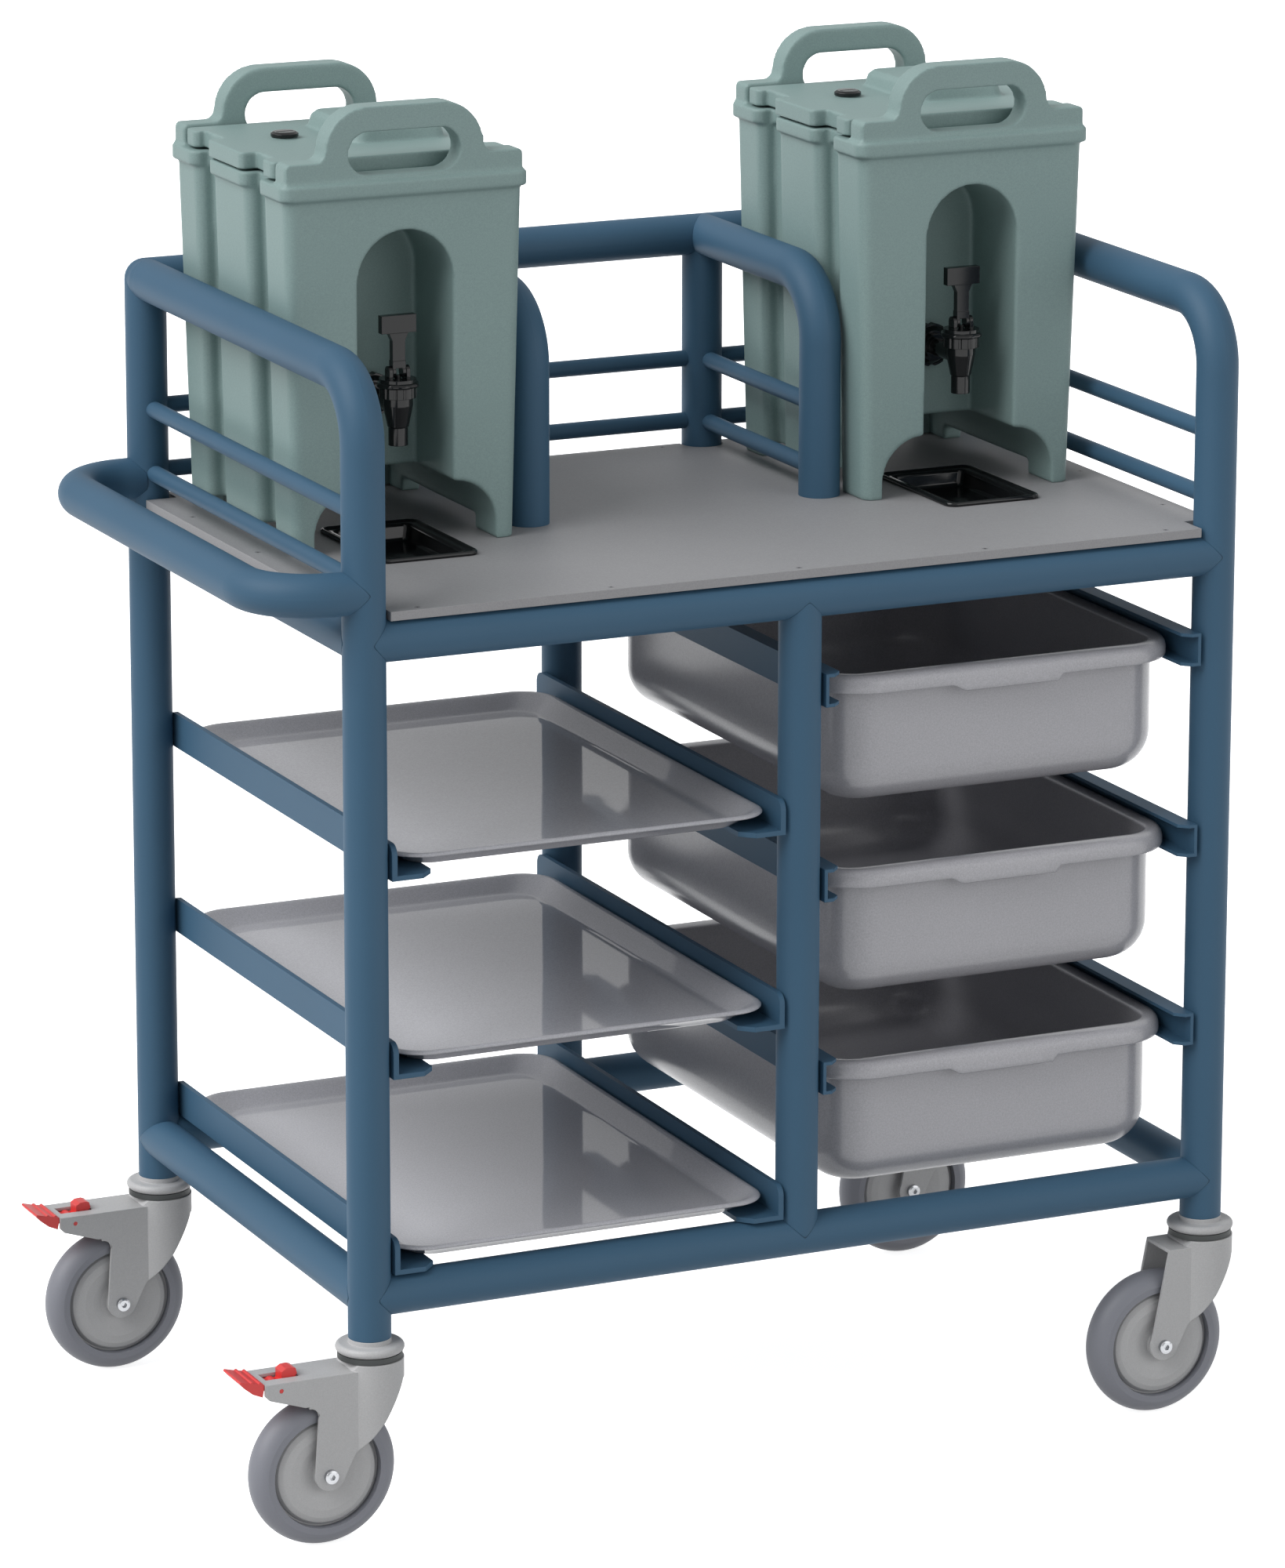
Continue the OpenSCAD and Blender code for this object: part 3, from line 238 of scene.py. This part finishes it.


# the edge factor in each finish sets how much lighter its painted highlight on rounded edges is
FINISHES = {
    "frame_paint": finish(
        "frame_enamel", (0.047, 0.115, 0.190), 0.56, grain=700.0, speckle=0.10, bump=0.12,
        depth=0.06, edge=0.8, edge_highlight=1.1, Specular_IOR_Level=0.3),
    "board": finish(
        "board_laminate", (0.365, 0.362, 0.374), 0.55, grain=620.0, speckle=0.36, bump=0.25,
        mottle=0.04, edge=0.6, edge_highlight=1.35),
    "steel": finish(
        "plated_steel", (0.48, 0.49, 0.51), 0.22, grain=1600.0, speckle=0.08, bump=0.08,
        mottle=0.03, edge=0.5, edge_highlight=1.1, Metallic=1.0),
    "screw": finish(
        "dull_screw", (0.20, 0.20, 0.21), 0.45, grain=1600.0, speckle=0.1),
    "seal": finish(
        "seal_rubber", (0.045, 0.050, 0.050), 0.55, grain=1400.0, speckle=0.15, bump=0.2,
        mottle=0.06),
    "tyre": finish(
        "tyre_rubber", (0.235, 0.242, 0.276), 0.50, grain=1200.0, speckle=0.12, bump=0.2),
    "castor_paint": finish(
        "castor_enamel", (0.56, 0.56, 0.565), 0.48, grain=700.0, speckle=0.26, bump=0.3,
        mottle=0.03, edge=1.2, edge_highlight=1.12),
    "hub": finish(
        "hub_plastic", (0.54, 0.54, 0.545), 0.45, grain=700.0, speckle=0.20, bump=0.3,
        mottle=0.03, edge=1.0, edge_highlight=1.08),
    "red_plastic": finish(
        "pedal_plastic", (0.76, 0.046, 0.044), 0.32, grain=1000.0, speckle=0.08, bump=0.15,
        edge=0.8, edge_highlight=1.25),
    "tray": finish(
        "tray_plastic", (0.59, 0.59, 0.63), 0.05, grain=640.0, speckle=0.42, bump=0.0,
        mottle=0.03, gloss_change=0.015, Specular_IOR_Level=0.22),
    "tub": finish(
        "tub_plastic", (0.545, 0.54, 0.575), 0.24, grain=640.0, speckle=0.42, bump=0.15,
        mottle=0.03),
    "black_plastic": finish(
        "gloss_black", (0.009, 0.010, 0.011), 0.10, grain=900.0, speckle=0.15, bump=0.04,
        edge=0.8, edge_highlight=1.6, gloss_change=0.05, Specular_IOR_Level=0.35),
    "urn": finish(
        "urn_plastic", (0.270, 0.384, 0.372), 0.55, grain=620.0, speckle=0.30, bump=0.45,
        depth=0.15, mottle=0.04),
}


def paint_nodes():
    """Every node of the frame gets the finish of its material slot; the screws in the board are
    duller steel."""
    for part in frame["record"]["subparts"]:
        slot = "screw" if part["node"] == "deck_screws" else part["material_slot"]
        mesh = frame["nodes"][part["node"]].data
        mesh.materials.clear()
        mesh.materials.append(FINISHES[slot])


# ---- camera, light and floor

# solved from the photograph: place in metres, angles in degrees, lens and picture height in
# millimetres, and shifts as shares of the picture's height
CAMERA_PLACE = (-2.62799, -5.71461, 2.224)
CAMERA_AZIMUTH, CAMERA_ELEVATION, CAMERA_ROLL = -24.708, 13.836, 0.043
LENS_LENGTH, PICTURE_HEIGHT = 163.53, 36.0
SHIFT_X, SHIFT_Y = 0.00915, -0.0636

# lamps: strength, spread in degrees and the way the light goes
LAMPS = {
    "key": (2.55, 50.0, (0.80, 0.02, -0.78)),
    "fill": (0.68, 50.0, (-0.50, 0.80, -0.18)),
}
# the world: its light on the trolley, its brightness in reflections and its white backdrop
SOFT_LIGHT, MIRRORED_LIGHT, WHITE_BACKDROP = 0.38, 0.75, 1.0

# floor: radius and place under the wheels in metres, its colour for light and as it is seen, and how
# much it is lifted towards white where it is seen
FLOOR_RADIUS, FLOOR_DROP = 30.0, 0.0005
FLOOR_LIT = (0.40, 0.40, 0.40, 1.0)
FLOOR_SEEN = (0.93, 0.93, 0.93, 1.0)
FLOOR_LIFT = 0.8


def turned_to(right, up, back):
    """A turn whose columns are the directions of an object's own right, up and back."""
    return Matrix(np.column_stack([right, up, back]).tolist()).to_4x4()


def aim_camera():
    """Camera of the photograph. Its back points from the trolley to the camera, by azimuth and
    elevation; right is level, up is at right angles to both, and both are then rolled about the
    back."""
    azimuth, elevation, roll = (
        math.radians(angle) for angle in (CAMERA_AZIMUTH, CAMERA_ELEVATION, CAMERA_ROLL))
    back = np.array([math.sin(azimuth) * math.cos(elevation),
                     -math.cos(azimuth) * math.cos(elevation), math.sin(elevation)])
    level_right = np.array([math.cos(azimuth), math.sin(azimuth), 0.0])
    level_up = np.cross(back, level_right)
    right = math.cos(roll) * level_right + math.sin(roll) * level_up
    up = math.cos(roll) * level_up - math.sin(roll) * level_right
    lens = bpy.data.cameras.new("camera")
    lens.sensor_fit = "VERTICAL"
    lens.sensor_height = PICTURE_HEIGHT
    lens.lens = LENS_LENGTH
    lens.shift_x = SHIFT_X
    lens.shift_y = SHIFT_Y
    lens.clip_end = 100.0
    camera = bpy.data.objects.new("camera", lens)
    bpy.context.collection.objects.link(camera)
    camera.matrix_world = Matrix.Translation(CAMERA_PLACE) @ turned_to(right, up, back)
    bpy.context.scene.camera = camera
    bpy.context.scene.view_settings.view_transform = "Standard"


def add_lamps():
    """A broad key light from the upper left, and a weaker one from the front and right."""
    for name, (strength, spread, towards) in LAMPS.items():
        lamp = bpy.data.lights.new(name, "SUN")
        lamp.energy = strength
        lamp.angle = math.radians(spread)
        piece = bpy.data.objects.new(name, lamp)
        bpy.context.collection.objects.link(piece)
        back = -np.array(towards) / np.linalg.norm(towards)
        side = np.cross((0.0, 0.0, 1.0), back)
        side /= np.linalg.norm(side)
        piece.matrix_world = turned_to(side, np.cross(back, side), back)


def add_world():
    """Even soft light, and white where the camera and reflections look past the floor."""
    world = bpy.data.worlds.new("studio")
    bpy.context.scene.world = world
    world.use_nodes = True
    tree = world.node_tree
    tree.nodes.clear()
    soft, mirrored, white = (
        add_node(tree, "ShaderNodeBackground", in_Color=colour, in_Strength=strength)
        for colour, strength in (((0.96, 0.98, 1.0, 1.0), SOFT_LIGHT), (WHITE, MIRRORED_LIGHT),
                                 (WHITE, WHITE_BACKDROP)))
    path = tree.nodes.new("ShaderNodeLightPath").outputs
    through = maths(tree, "MAXIMUM", path["Is Camera Ray"], path["Is Transmission Ray"])
    behind = mixed_shaders(tree, path["Is Glossy Ray"], soft, mirrored)
    seen = mixed_shaders(tree, through, behind, white)
    out = tree.nodes.new("ShaderNodeOutputWorld")
    tree.links.new(seen.outputs[0], out.inputs["Surface"])


def add_floor():
    """A wide white disc. What the camera and reflections see of it is lifted towards white, so that
    only a soft shadow is left, and it throws less light up at the trolley than white paper would,
    as in the photograph."""
    turns = np.linspace(0.0, FULL_TURN, 64, endpoint=False)
    points = np.column_stack([FLOOR_RADIUS * np.cos(turns), FLOOR_RADIUS * np.sin(turns),
                              np.full(turns.size, -FLOOR_DROP)])
    mesh = bpy.data.meshes.new("floor")
    mesh.from_pydata(points.tolist(), [], [list(range(turns.size))])
    floor = bpy.data.objects.new("floor", mesh)
    bpy.context.collection.objects.link(floor)
    paint = bpy.data.materials.new("floor_white")
    paint.use_nodes = True
    tree = paint.node_tree
    shade = tree.nodes["Principled BSDF"]
    shade.inputs["Roughness"].default_value = 0.9
    shade.inputs["Specular IOR Level"].default_value = 0.1
    shade.inputs["Emission Color"].default_value = WHITE
    path = tree.nodes.new("ShaderNodeLightPath").outputs
    mirrored = maths(tree, "MAXIMUM", path["Is Glossy Ray"], path["Is Transmission Ray"])
    in_sight = maths(tree, "MAXIMUM", path["Is Camera Ray"], mirrored)
    tree.links.new(blended(tree, in_sight, FLOOR_LIT, FLOOR_SEEN), shade.inputs["Base Color"])
    tree.links.new(maths(tree, "MULTIPLY", in_sight, FLOOR_LIFT), shade.inputs["Emission Strength"])
    mesh.materials.append(paint)


# ---- places, and meshes from points and faces

def node_corners(node):
    """Lowest and highest corner of a node's box, in millimetres."""
    low, high = (np.array(corner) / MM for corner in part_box(node))
    return low, high


def node_base(node):
    """Middle of a node's box in plan, and its lowest height, in millimetres."""
    low, high = node_corners(node)
    return np.array([(low[0] + high[0]) / 2, (low[1] + high[1]) / 2, low[2]])


def half_plan(node):
    """Half width and half length of a node's box, to the hundredth of a millimetre."""
    low, high = node_corners(node)
    return np.round((high[:2] - low[:2]) / 2, 2)


def new_piece(name, points, faces, slot, body, *nodes, smooth=True):
    """A piece from points in metres and faces, in its finish, on its body, in place of its
    nodes."""
    mesh = bpy.data.meshes.new(name)
    mesh.from_pydata(np.asarray(points).reshape(-1, 3).tolist(), [], faces)
    mesh.polygons.foreach_set("use_smooth", [smooth] * len(mesh.polygons))
    mesh.materials.append(FINISHES[slot])
    piece = bpy.data.objects.new(name, mesh)
    bpy.context.collection.objects.link(piece)
    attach(piece, body)
    if nodes:
        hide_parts(*nodes)
    return piece


def shell_faces(ring_count, place_count):
    """Quads between neighbouring rings, wrapped round, with a flat face on the first and last
    ring."""
    ring = np.arange(ring_count - 1)[:, None] * place_count
    place = np.arange(place_count)[None, :]
    after = (place + 1) % place_count
    following = ring + place_count
    quads = np.stack([ring + place, following + place, following + after, ring + after], axis=2)
    faces = quads.reshape(-1, 4).tolist()
    faces.append(list(range(place_count)))
    faces.append(list(range((ring_count - 1) * place_count, ring_count * place_count))[::-1])
    return faces


def loop_faces(turn_count, profile_count):
    """Quads of a closed profile carried round a closed circle, numbered turn by turn."""
    turn = np.arange(turn_count)[:, None]
    here, there = turn * profile_count, (turn + 1) % turn_count * profile_count
    along = np.arange(profile_count)[None, :]
    onward = (along + 1) % profile_count
    quads = np.stack([here + along, there + along, there + onward, here + onward], axis=2)
    return quads.reshape(-1, 4).tolist()


# ---- moulded pieces as profiles carried round a rounded rectangle

def ring_weights(corner_steps, side_steps):
    """Weights of half width, half length and corner radius for each point of a rounded rectangle,
    anticlockwise from the right-hand end of its first corner: corner points are the arc's centre
    plus the radius times the cosine and sine, and side points are shared out evenly between two
    arcs."""
    corners = []
    for quarter, (sx, sy) in enumerate(((1, 1), (-1, 1), (-1, -1), (1, -1))):
        turn = np.radians(90.0 * quarter + np.linspace(0.0, 90.0, corner_steps + 1))
        corners.append(np.column_stack([np.full(turn.size, sx), np.full(turn.size, sy),
                                        np.cos(turn) - sx, np.sin(turn) - sy]))
    rows = []
    share = (np.arange(1, side_steps) / side_steps)[:, None]
    for corner, following in zip(corners, corners[1:] + corners[:1]):
        rows += [corner, corner[-1] * (1.0 - share) + following[0] * share]
    return np.vstack(rows)


def inset_rings(half_w, half_l, points):
    """Rings of a profile given as (inset from the outline, corner radius, height)."""
    return [(half_w - inset, half_l - inset, radius, height) for inset, radius, height in points]


def carried_profile(rings, corner_steps, side_steps):
    """Points (ring, place, xyz) of a profile carried round a rounded rectangle. A ring is half
    width, half length, corner radius and height; x is the width's weight times half width plus the
    radius' weight times radius, and y the same of the length."""
    weights = ring_weights(corner_steps, side_steps)
    rings = np.asarray(rings, dtype=float)
    half_w, half_l, radius, height = (rings[:, k:k + 1] for k in range(4))
    x = weights[:, 0] * half_w + weights[:, 2] * radius
    y = weights[:, 1] * half_l + weights[:, 3] * radius
    return np.stack([x, y, np.broadcast_to(height, x.shape)], axis=2)


def add_trays():
    """Serving trays: flat floor, sloping side, a narrow rolled rim and the underside, carried round
    the rim's outline, which is the node's."""
    floor_and_side = [(30.0, 22.0, 2.4), (26.0, 23.0, 2.45), (23.6, 25.0, 3.0), (21.8, 26.0, 4.4),
                      (9.2, 29.5, 12.6)]
    rim = [(7.2, 30.6, 14.1), (5.4, 31.5, 14.85), (3.2, 32.6, 15.0), (1.4, 33.8, 14.5),
           (0.3, 34.7, 13.5), (0.0, 35.0, 12.6), (0.5, 34.7, 11.9), (1.6, 34.0, 11.6),
           (4.0, 32.0, 12.2)]
    underside = [(6.8, 30.0, 11.6), (20.4, 25.5, 1.5), (22.2, 25.0, 0.35), (24.0, 24.0, 0.0)]
    rings = inset_rings(*half_plan("tray_top"), floor_and_side + rim + underside)
    shape = carried_profile(rings, corner_steps=14, side_steps=12)
    faces = shell_faces(*shape.shape[:2])
    for level in LEVELS:
        node = "tray_" + level
        new_piece("tray_skin_" + level, (shape + node_base(node)) * MM, faces, "tray", node, node)


def tub_edge(low_w, low_l, corner, edge, wall, turns):
    """Rings of a tub's large lower edge: a quarter round of radius edge less wall, which rises by
    one minus the cosine, and whose half sizes and corner radius in plan grow by the sine of the
    same angle."""
    radius = edge - wall
    return [(low_w + radius * s, low_l + radius * s, corner + radius * s, edge - radius * c)
            for s, c in zip(np.sin(turns), np.cos(turns))]


def tub_profile(half_w, half_l):
    """Rings of a tub from the middle of its inner floor over the rolled lip to its outer floor, and
    which of them are the lip's outer face."""
    low = dict(low_w=134.0, low_l=198.0, corner=12.0, edge=36.0)
    inner_edge = tub_edge(**low, wall=3.0, turns=np.radians(np.linspace(4.0, 90.0, 10)))
    outer_edge = tub_edge(**low, wall=0.0, turns=np.radians(np.linspace(90.0, 4.0, 12)))
    inner_wall = [(16.8, 45.0, 70.0), (17.2, 44.0, 100.0), (18.2, 39.0, 112.0), (20.2, 29.0, 118.4)]
    lip_top = [(20.6, 27.0, 120.0), (20.4, 27.0, 120.8), (19.6, 29.0, 121.3), (16.0, 38.0, 121.8),
               (9.0, 50.0, 122.0), (5.4, 55.0, 121.6), (3.0, 57.5, 120.3)]
    lip_face = [(1.2, 59.0, 118.0), (0.2, 59.8, 114.5), (0.0, 60.0, 110.5), (0.1, 60.0, 107.6),
                (0.7, 59.6, 106.3), (1.6, 59.0, 106.0), (2.5, 58.4, 106.4), (3.0, 58.0, 107.6),
                (3.1, 57.8, 114.0)]
    lip_under = [(5.0, 56.4, 117.4), (8.0, 54.0, 118.6), (11.6, 51.0, 117.6), (13.5, 49.0, 114.6)]
    outer_wall = [(13.6, 48.0, 100.0), (13.6, 48.0, 70.0)]
    first = len(inner_edge) + len(inner_wall) + len(lip_top)
    walls = inset_rings(half_w, half_l, inner_wall + lip_top + lip_face + lip_under + outer_wall)
    return inner_edge + walls + outer_edge, slice(first, first + len(lip_face))


def deepen_grips(shape, lip_face, half_w, half_l, grip_out):
    """In the middle of a tub's front and back its lip stands out and hangs deeper. The step is
    smooth at the left (three squares less two cubes of the share of the way) and sharp at the
    right, where ribs, a cosine of the distance along the lip, cross it; between them the grip
    stands out by a third. Each ring of the lip's face takes its own share of both moves."""
    left, right, blend, sharp = -56.0, 54.0, 14.0, 1.6
    rib_start, rib_pitch = 41.0, 4.3
    end_depth, corner_reach = 4.0, 50.0
    grip_drop = 5.6
    out_share = np.array([0.0, 0.15, 0.45, 0.8, 1.0, 1.0, 1.0, 0.9, 0.0])[:, None]
    down_share = np.array([0.0, 0.0, 0.1, 0.5, 0.9, 1.0, 1.0, 1.0, 1.0])[:, None]
    x, y = shape[lip_face, :, 0], shape[lip_face, :, 1]
    on_end = (np.abs(y) > half_l - end_depth) & (np.abs(x) < half_w - corner_reach)
    rise = np.clip((x - left) / blend, 0.0, 1.0)
    fall = np.clip((right - x) / sharp, 0.0, 1.0)
    step = np.where(on_end, rise * rise * (3.0 - 2.0 * rise) * fall, 0.0)
    wave = 0.5 + 0.5 * np.cos((x - rib_start) * FULL_TURN / rib_pitch)
    ribs = np.where((x > rib_start) & (x < right), wave, 1.0)
    shape[lip_face, :, 1] += np.sign(y) * step * out_share * grip_out * (1.0 + 2.0 * ribs) / 3.0
    shape[lip_face, :, 2] -= step * down_share * grip_drop


def add_tubs():
    """Tubs: inner floor and wall, rolled lip with its grips, outer wall and floor. The node's box
    takes in the grips, which stand out at both ends."""
    grip_out = 1.5
    half_w, half_l = half_plan("tub_top") - (0.0, grip_out)
    rings, lip_face = tub_profile(half_w, half_l)
    shape = carried_profile(rings, corner_steps=12, side_steps=120)
    deepen_grips(shape, lip_face, half_w, half_l, grip_out)
    faces = shell_faces(*shape.shape[:2])
    for level in LEVELS:
        node = "tub_" + level
        new_piece("tub_skin_" + level, (shape + node_base(node)) * MM, faces, "tub", node, node)


def add_pans():
    """Drip pans: inner floor, which the photograph shows about 15 mm under the rim, and wall, flat
    flange with a raised round bead, and the outside of the well. Heights count from the flange's
    underside, the well's insets from the well's outline and the bead's from the flange's."""
    pan_depth, well_inset = 30.0, 9.6
    flange = half_plan("drip_pan_left")
    well = flange - well_inset
    inside = [(12.0, 3.0, -13.0), (7.5, 4.0, -12.8), (5.2, 5.0, -11.6), (4.0, 5.5, -9.0),
              (2.4, 5.5, -1.0), (1.7, 6.0, 1.0), (0.6, 6.6, 1.9), (-1.0, 7.4, 2.1)]
    bead = [(5.2, 7.0, 2.1), (4.3, 7.4, 2.6), (3.3, 8.0, 3.7), (2.2, 8.6, 4.2), (1.1, 9.2, 3.9),
            (0.3, 9.8, 3.0), (0.0, 10.0, 1.8), (0.1, 10.0, 0.6), (0.7, 9.6, 0.1)]
    outside = [(-0.4, 7.4, 0.1), (0.1, 7.0, -0.6), (3.8, 7.0, -26.0), (4.8, 6.6, -28.8),
               (7.0, 6.0, -29.9), (10.0, 4.0, -pan_depth)]
    rings = inset_rings(*well, inside) + inset_rings(*flange, bead) + inset_rings(*well, outside)
    shape = carried_profile(rings, corner_steps=8, side_steps=6)
    faces = shell_faces(*shape.shape[:2])
    for side in SIDES:
        node = "drip_pan_" + side
        place = node_base(node) + (0.0, 0.0, pan_depth)
        new_piece("pan_skin_" + side, (shape + place) * MM, faces, "black_plastic",
                  "pan_" + side, node)


# ---- small pieces that are added to the solids

def add_tap_flanges():
    """The tap cap's flange: a closed profile turned about the tap's upright axis. Outside the cap
    its radius swells and shrinks eight times by a cosine of the angle, so that it can be
    gripped."""
    lobes, swell_share, plain_radius = 8, 0.03, 16.0
    profile = np.array([(15.6, 9.4), (17.6, 9.5), (18.6, 10.1), (19.0, 11.2), (18.8, 12.4),
                        (17.9, 13.5), (16.6, 14.1), (15.6, 14.2)])
    turn = np.linspace(0.0, FULL_TURN, 96, endpoint=False)[:, None]
    swell = 1.0 + swell_share * np.cos(lobes * turn)
    radius = profile[:, 0] * np.where(profile[:, 0] > plain_radius, swell, 1.0)
    height = np.broadcast_to(profile[:, 1], radius.shape)
    shape = np.stack([radius * np.cos(turn), radius * np.sin(turn), height], axis=2)
    faces = loop_faces(*shape.shape[:2])
    for side in SIDES:
        new_piece("tap_flange_" + side, (shape + node_base("tap_bonnet_" + side)) * MM, faces,
                  "black_plastic", "urn_" + side)


def add_passage_lips():
    """Lip round the back of the passage under each urn, which hides the far background as in the
    photograph. Its outer edge is two quarter circles about points over the foot, with straights
    between and below them; its inner edge is the same with quarter ellipses. The edge is then
    carried along the passage as a flat plate."""
    centre_x, centre_z, outer_radius = 45.5, 14.5, 43.0
    inner_wide, inner_high = 27.0, 38.0
    foot_z = 0.6
    back_face, plate_near, plate_far = 222.5, 206.0, 213.5
    turn = np.radians(np.concatenate([[0.0], np.linspace(0.0, 90.0, 19)]))
    outer, inner = (
        np.column_stack([centre_x + wide * np.cos(turn), centre_z + high * np.sin(turn)])
        for wide, high in ((outer_radius, outer_radius), (inner_wide, inner_high)))
    outer[0, 1] = inner[0, 1] = foot_z
    mirror = np.array([-1.0, 1.0])
    outer, inner = (np.vstack([half, (half * mirror)[::-1]]) for half in (outer, inner))
    edge = np.vstack([outer, inner[::-1]])
    count = len(edge)
    shape = np.stack([np.column_stack([edge[:, 0], np.full(count, y), edge[:, 1]])
                      for y in (plate_near, plate_far)])
    place = np.arange(len(outer) - 1)
    front = np.column_stack([place, place + 1, count - 2 - place, count - 1 - place])
    around = np.arange(count)
    after = (around + 1) % count
    walls = np.column_stack([around, around + count, after + count, after])
    faces = front.tolist() + (front[:, ::-1] + count).tolist() + walls.tolist()
    for side in SIDES:
        low, high = node_corners("urn_body_" + side)
        base = np.array([(low[0] + high[0]) / 2, high[1] - back_face, low[2]])
        new_piece("passage_lip_" + side, (shape + base) * MM, faces, "urn", "urn_" + side,
                  smooth=False)


def add_corner_fills():
    """Weld metal where each side guard tube meets the ball of its back corner post: a closed
    cylinder along the tube's axis, a little under its surface, from the middle of the ball to
    inside the tube."""
    under_surface, length = 0.15, 30.0
    radius = TUBE_RADIUS - under_surface
    turn = np.linspace(0.0, FULL_TURN, 64, endpoint=False)
    ring = np.column_stack([radius * np.cos(turn), np.zeros(turn.size), radius * np.sin(turn)])
    shape = np.stack([ring - (0.0, y, 0.0) for y in np.linspace(0.0, length, 4)])
    faces = [face[::-1] for face in shell_faces(*shape.shape[:2])]
    low, high = node_corners("corner_posts_back")
    for side, x in zip(SIDES, (low[0] + TUBE_RADIUS, high[0] - TUBE_RADIUS)):
        place = np.array([x, high[1] - TUBE_RADIUS, high[2] - TUBE_RADIUS])
        new_piece("corner_fill_" + side, (shape + place) * MM, faces, "frame_paint", "frame")


# ---- rotationally moulded pieces: the solid's own form with its edges worn round

def merged_copy(name, node):
    """A copy of a node's triangles with the points that lie together joined."""
    source = frame["nodes"][node].data
    points = np.empty(len(source.vertices) * 3)
    source.vertices.foreach_get("co", points)
    corners = np.empty(len(source.loops), dtype=int)
    source.loops.foreach_get("vertex_index", corners)
    joined, index = np.unique(np.round(points.reshape(-1, 3), 6), axis=0, return_inverse=True)
    tris = index.reshape(-1)[corners].reshape(-1, 3)
    whole = (tris[:, 0] != tris[:, 1]) & (tris[:, 1] != tris[:, 2]) & (tris[:, 0] != tris[:, 2])
    mesh = bpy.data.meshes.new(name)
    mesh.from_pydata(joined.tolist(), [], tris[whole].tolist())
    return mesh


def moulded(name, node, cell, passes, keep):
    """The node's form cast again in cubic cells, each point then moved half way to the mean of its
    neighbours a few times over, so that every edge is round, and thinned to a share of its
    faces."""
    cast = bpy.data.objects.new(name + "_cast", merged_copy(name + "_cast", node))
    bpy.context.collection.objects.link(cast)
    cells = cast.modifiers.new("cells", "REMESH")
    cells.mode = "VOXEL"
    cells.voxel_size = cell * MM
    wear = cast.modifiers.new("wear", "SMOOTH")
    wear.factor = 0.5
    wear.iterations = passes
    thin = cast.modifiers.new("thin", "DECIMATE")
    thin.ratio = keep
    worn = cast.evaluated_get(bpy.context.evaluated_depsgraph_get())
    made = bpy.data.meshes.new_from_object(worn)
    points = np.empty(len(made.vertices) * 3)
    made.vertices.foreach_get("co", points)
    faces = [list(face.vertices) for face in made.polygons]
    bpy.data.objects.remove(cast)
    return points.reshape(-1, 3), faces


def add_urns():
    """Urn bodies and lids: the left one is cast, and the right one is the same shape moved
    along."""
    wear_passes = 3
    for part, carrier, cell, keep in (("urn_body", "urn", 1.8, 0.24),
                                      ("urn_lid", "lid", 1.4, 0.30)):
        points, faces = moulded(part, part + "_left", cell, wear_passes, keep)
        for side in SIDES:
            node = part + "_" + side
            shift = (node_base(node) - node_base(part + "_left")) * MM
            new_piece(part + "_skin_" + side, points + shift, faces, "urn",
                      carrier + "_" + side, node)


aim_camera()
add_lamps()
add_world()
add_floor()
paint_nodes()
add_trays()
add_tubs()
add_pans()
add_tap_flanges()
add_urns()
add_passage_lips()
add_corner_fills()
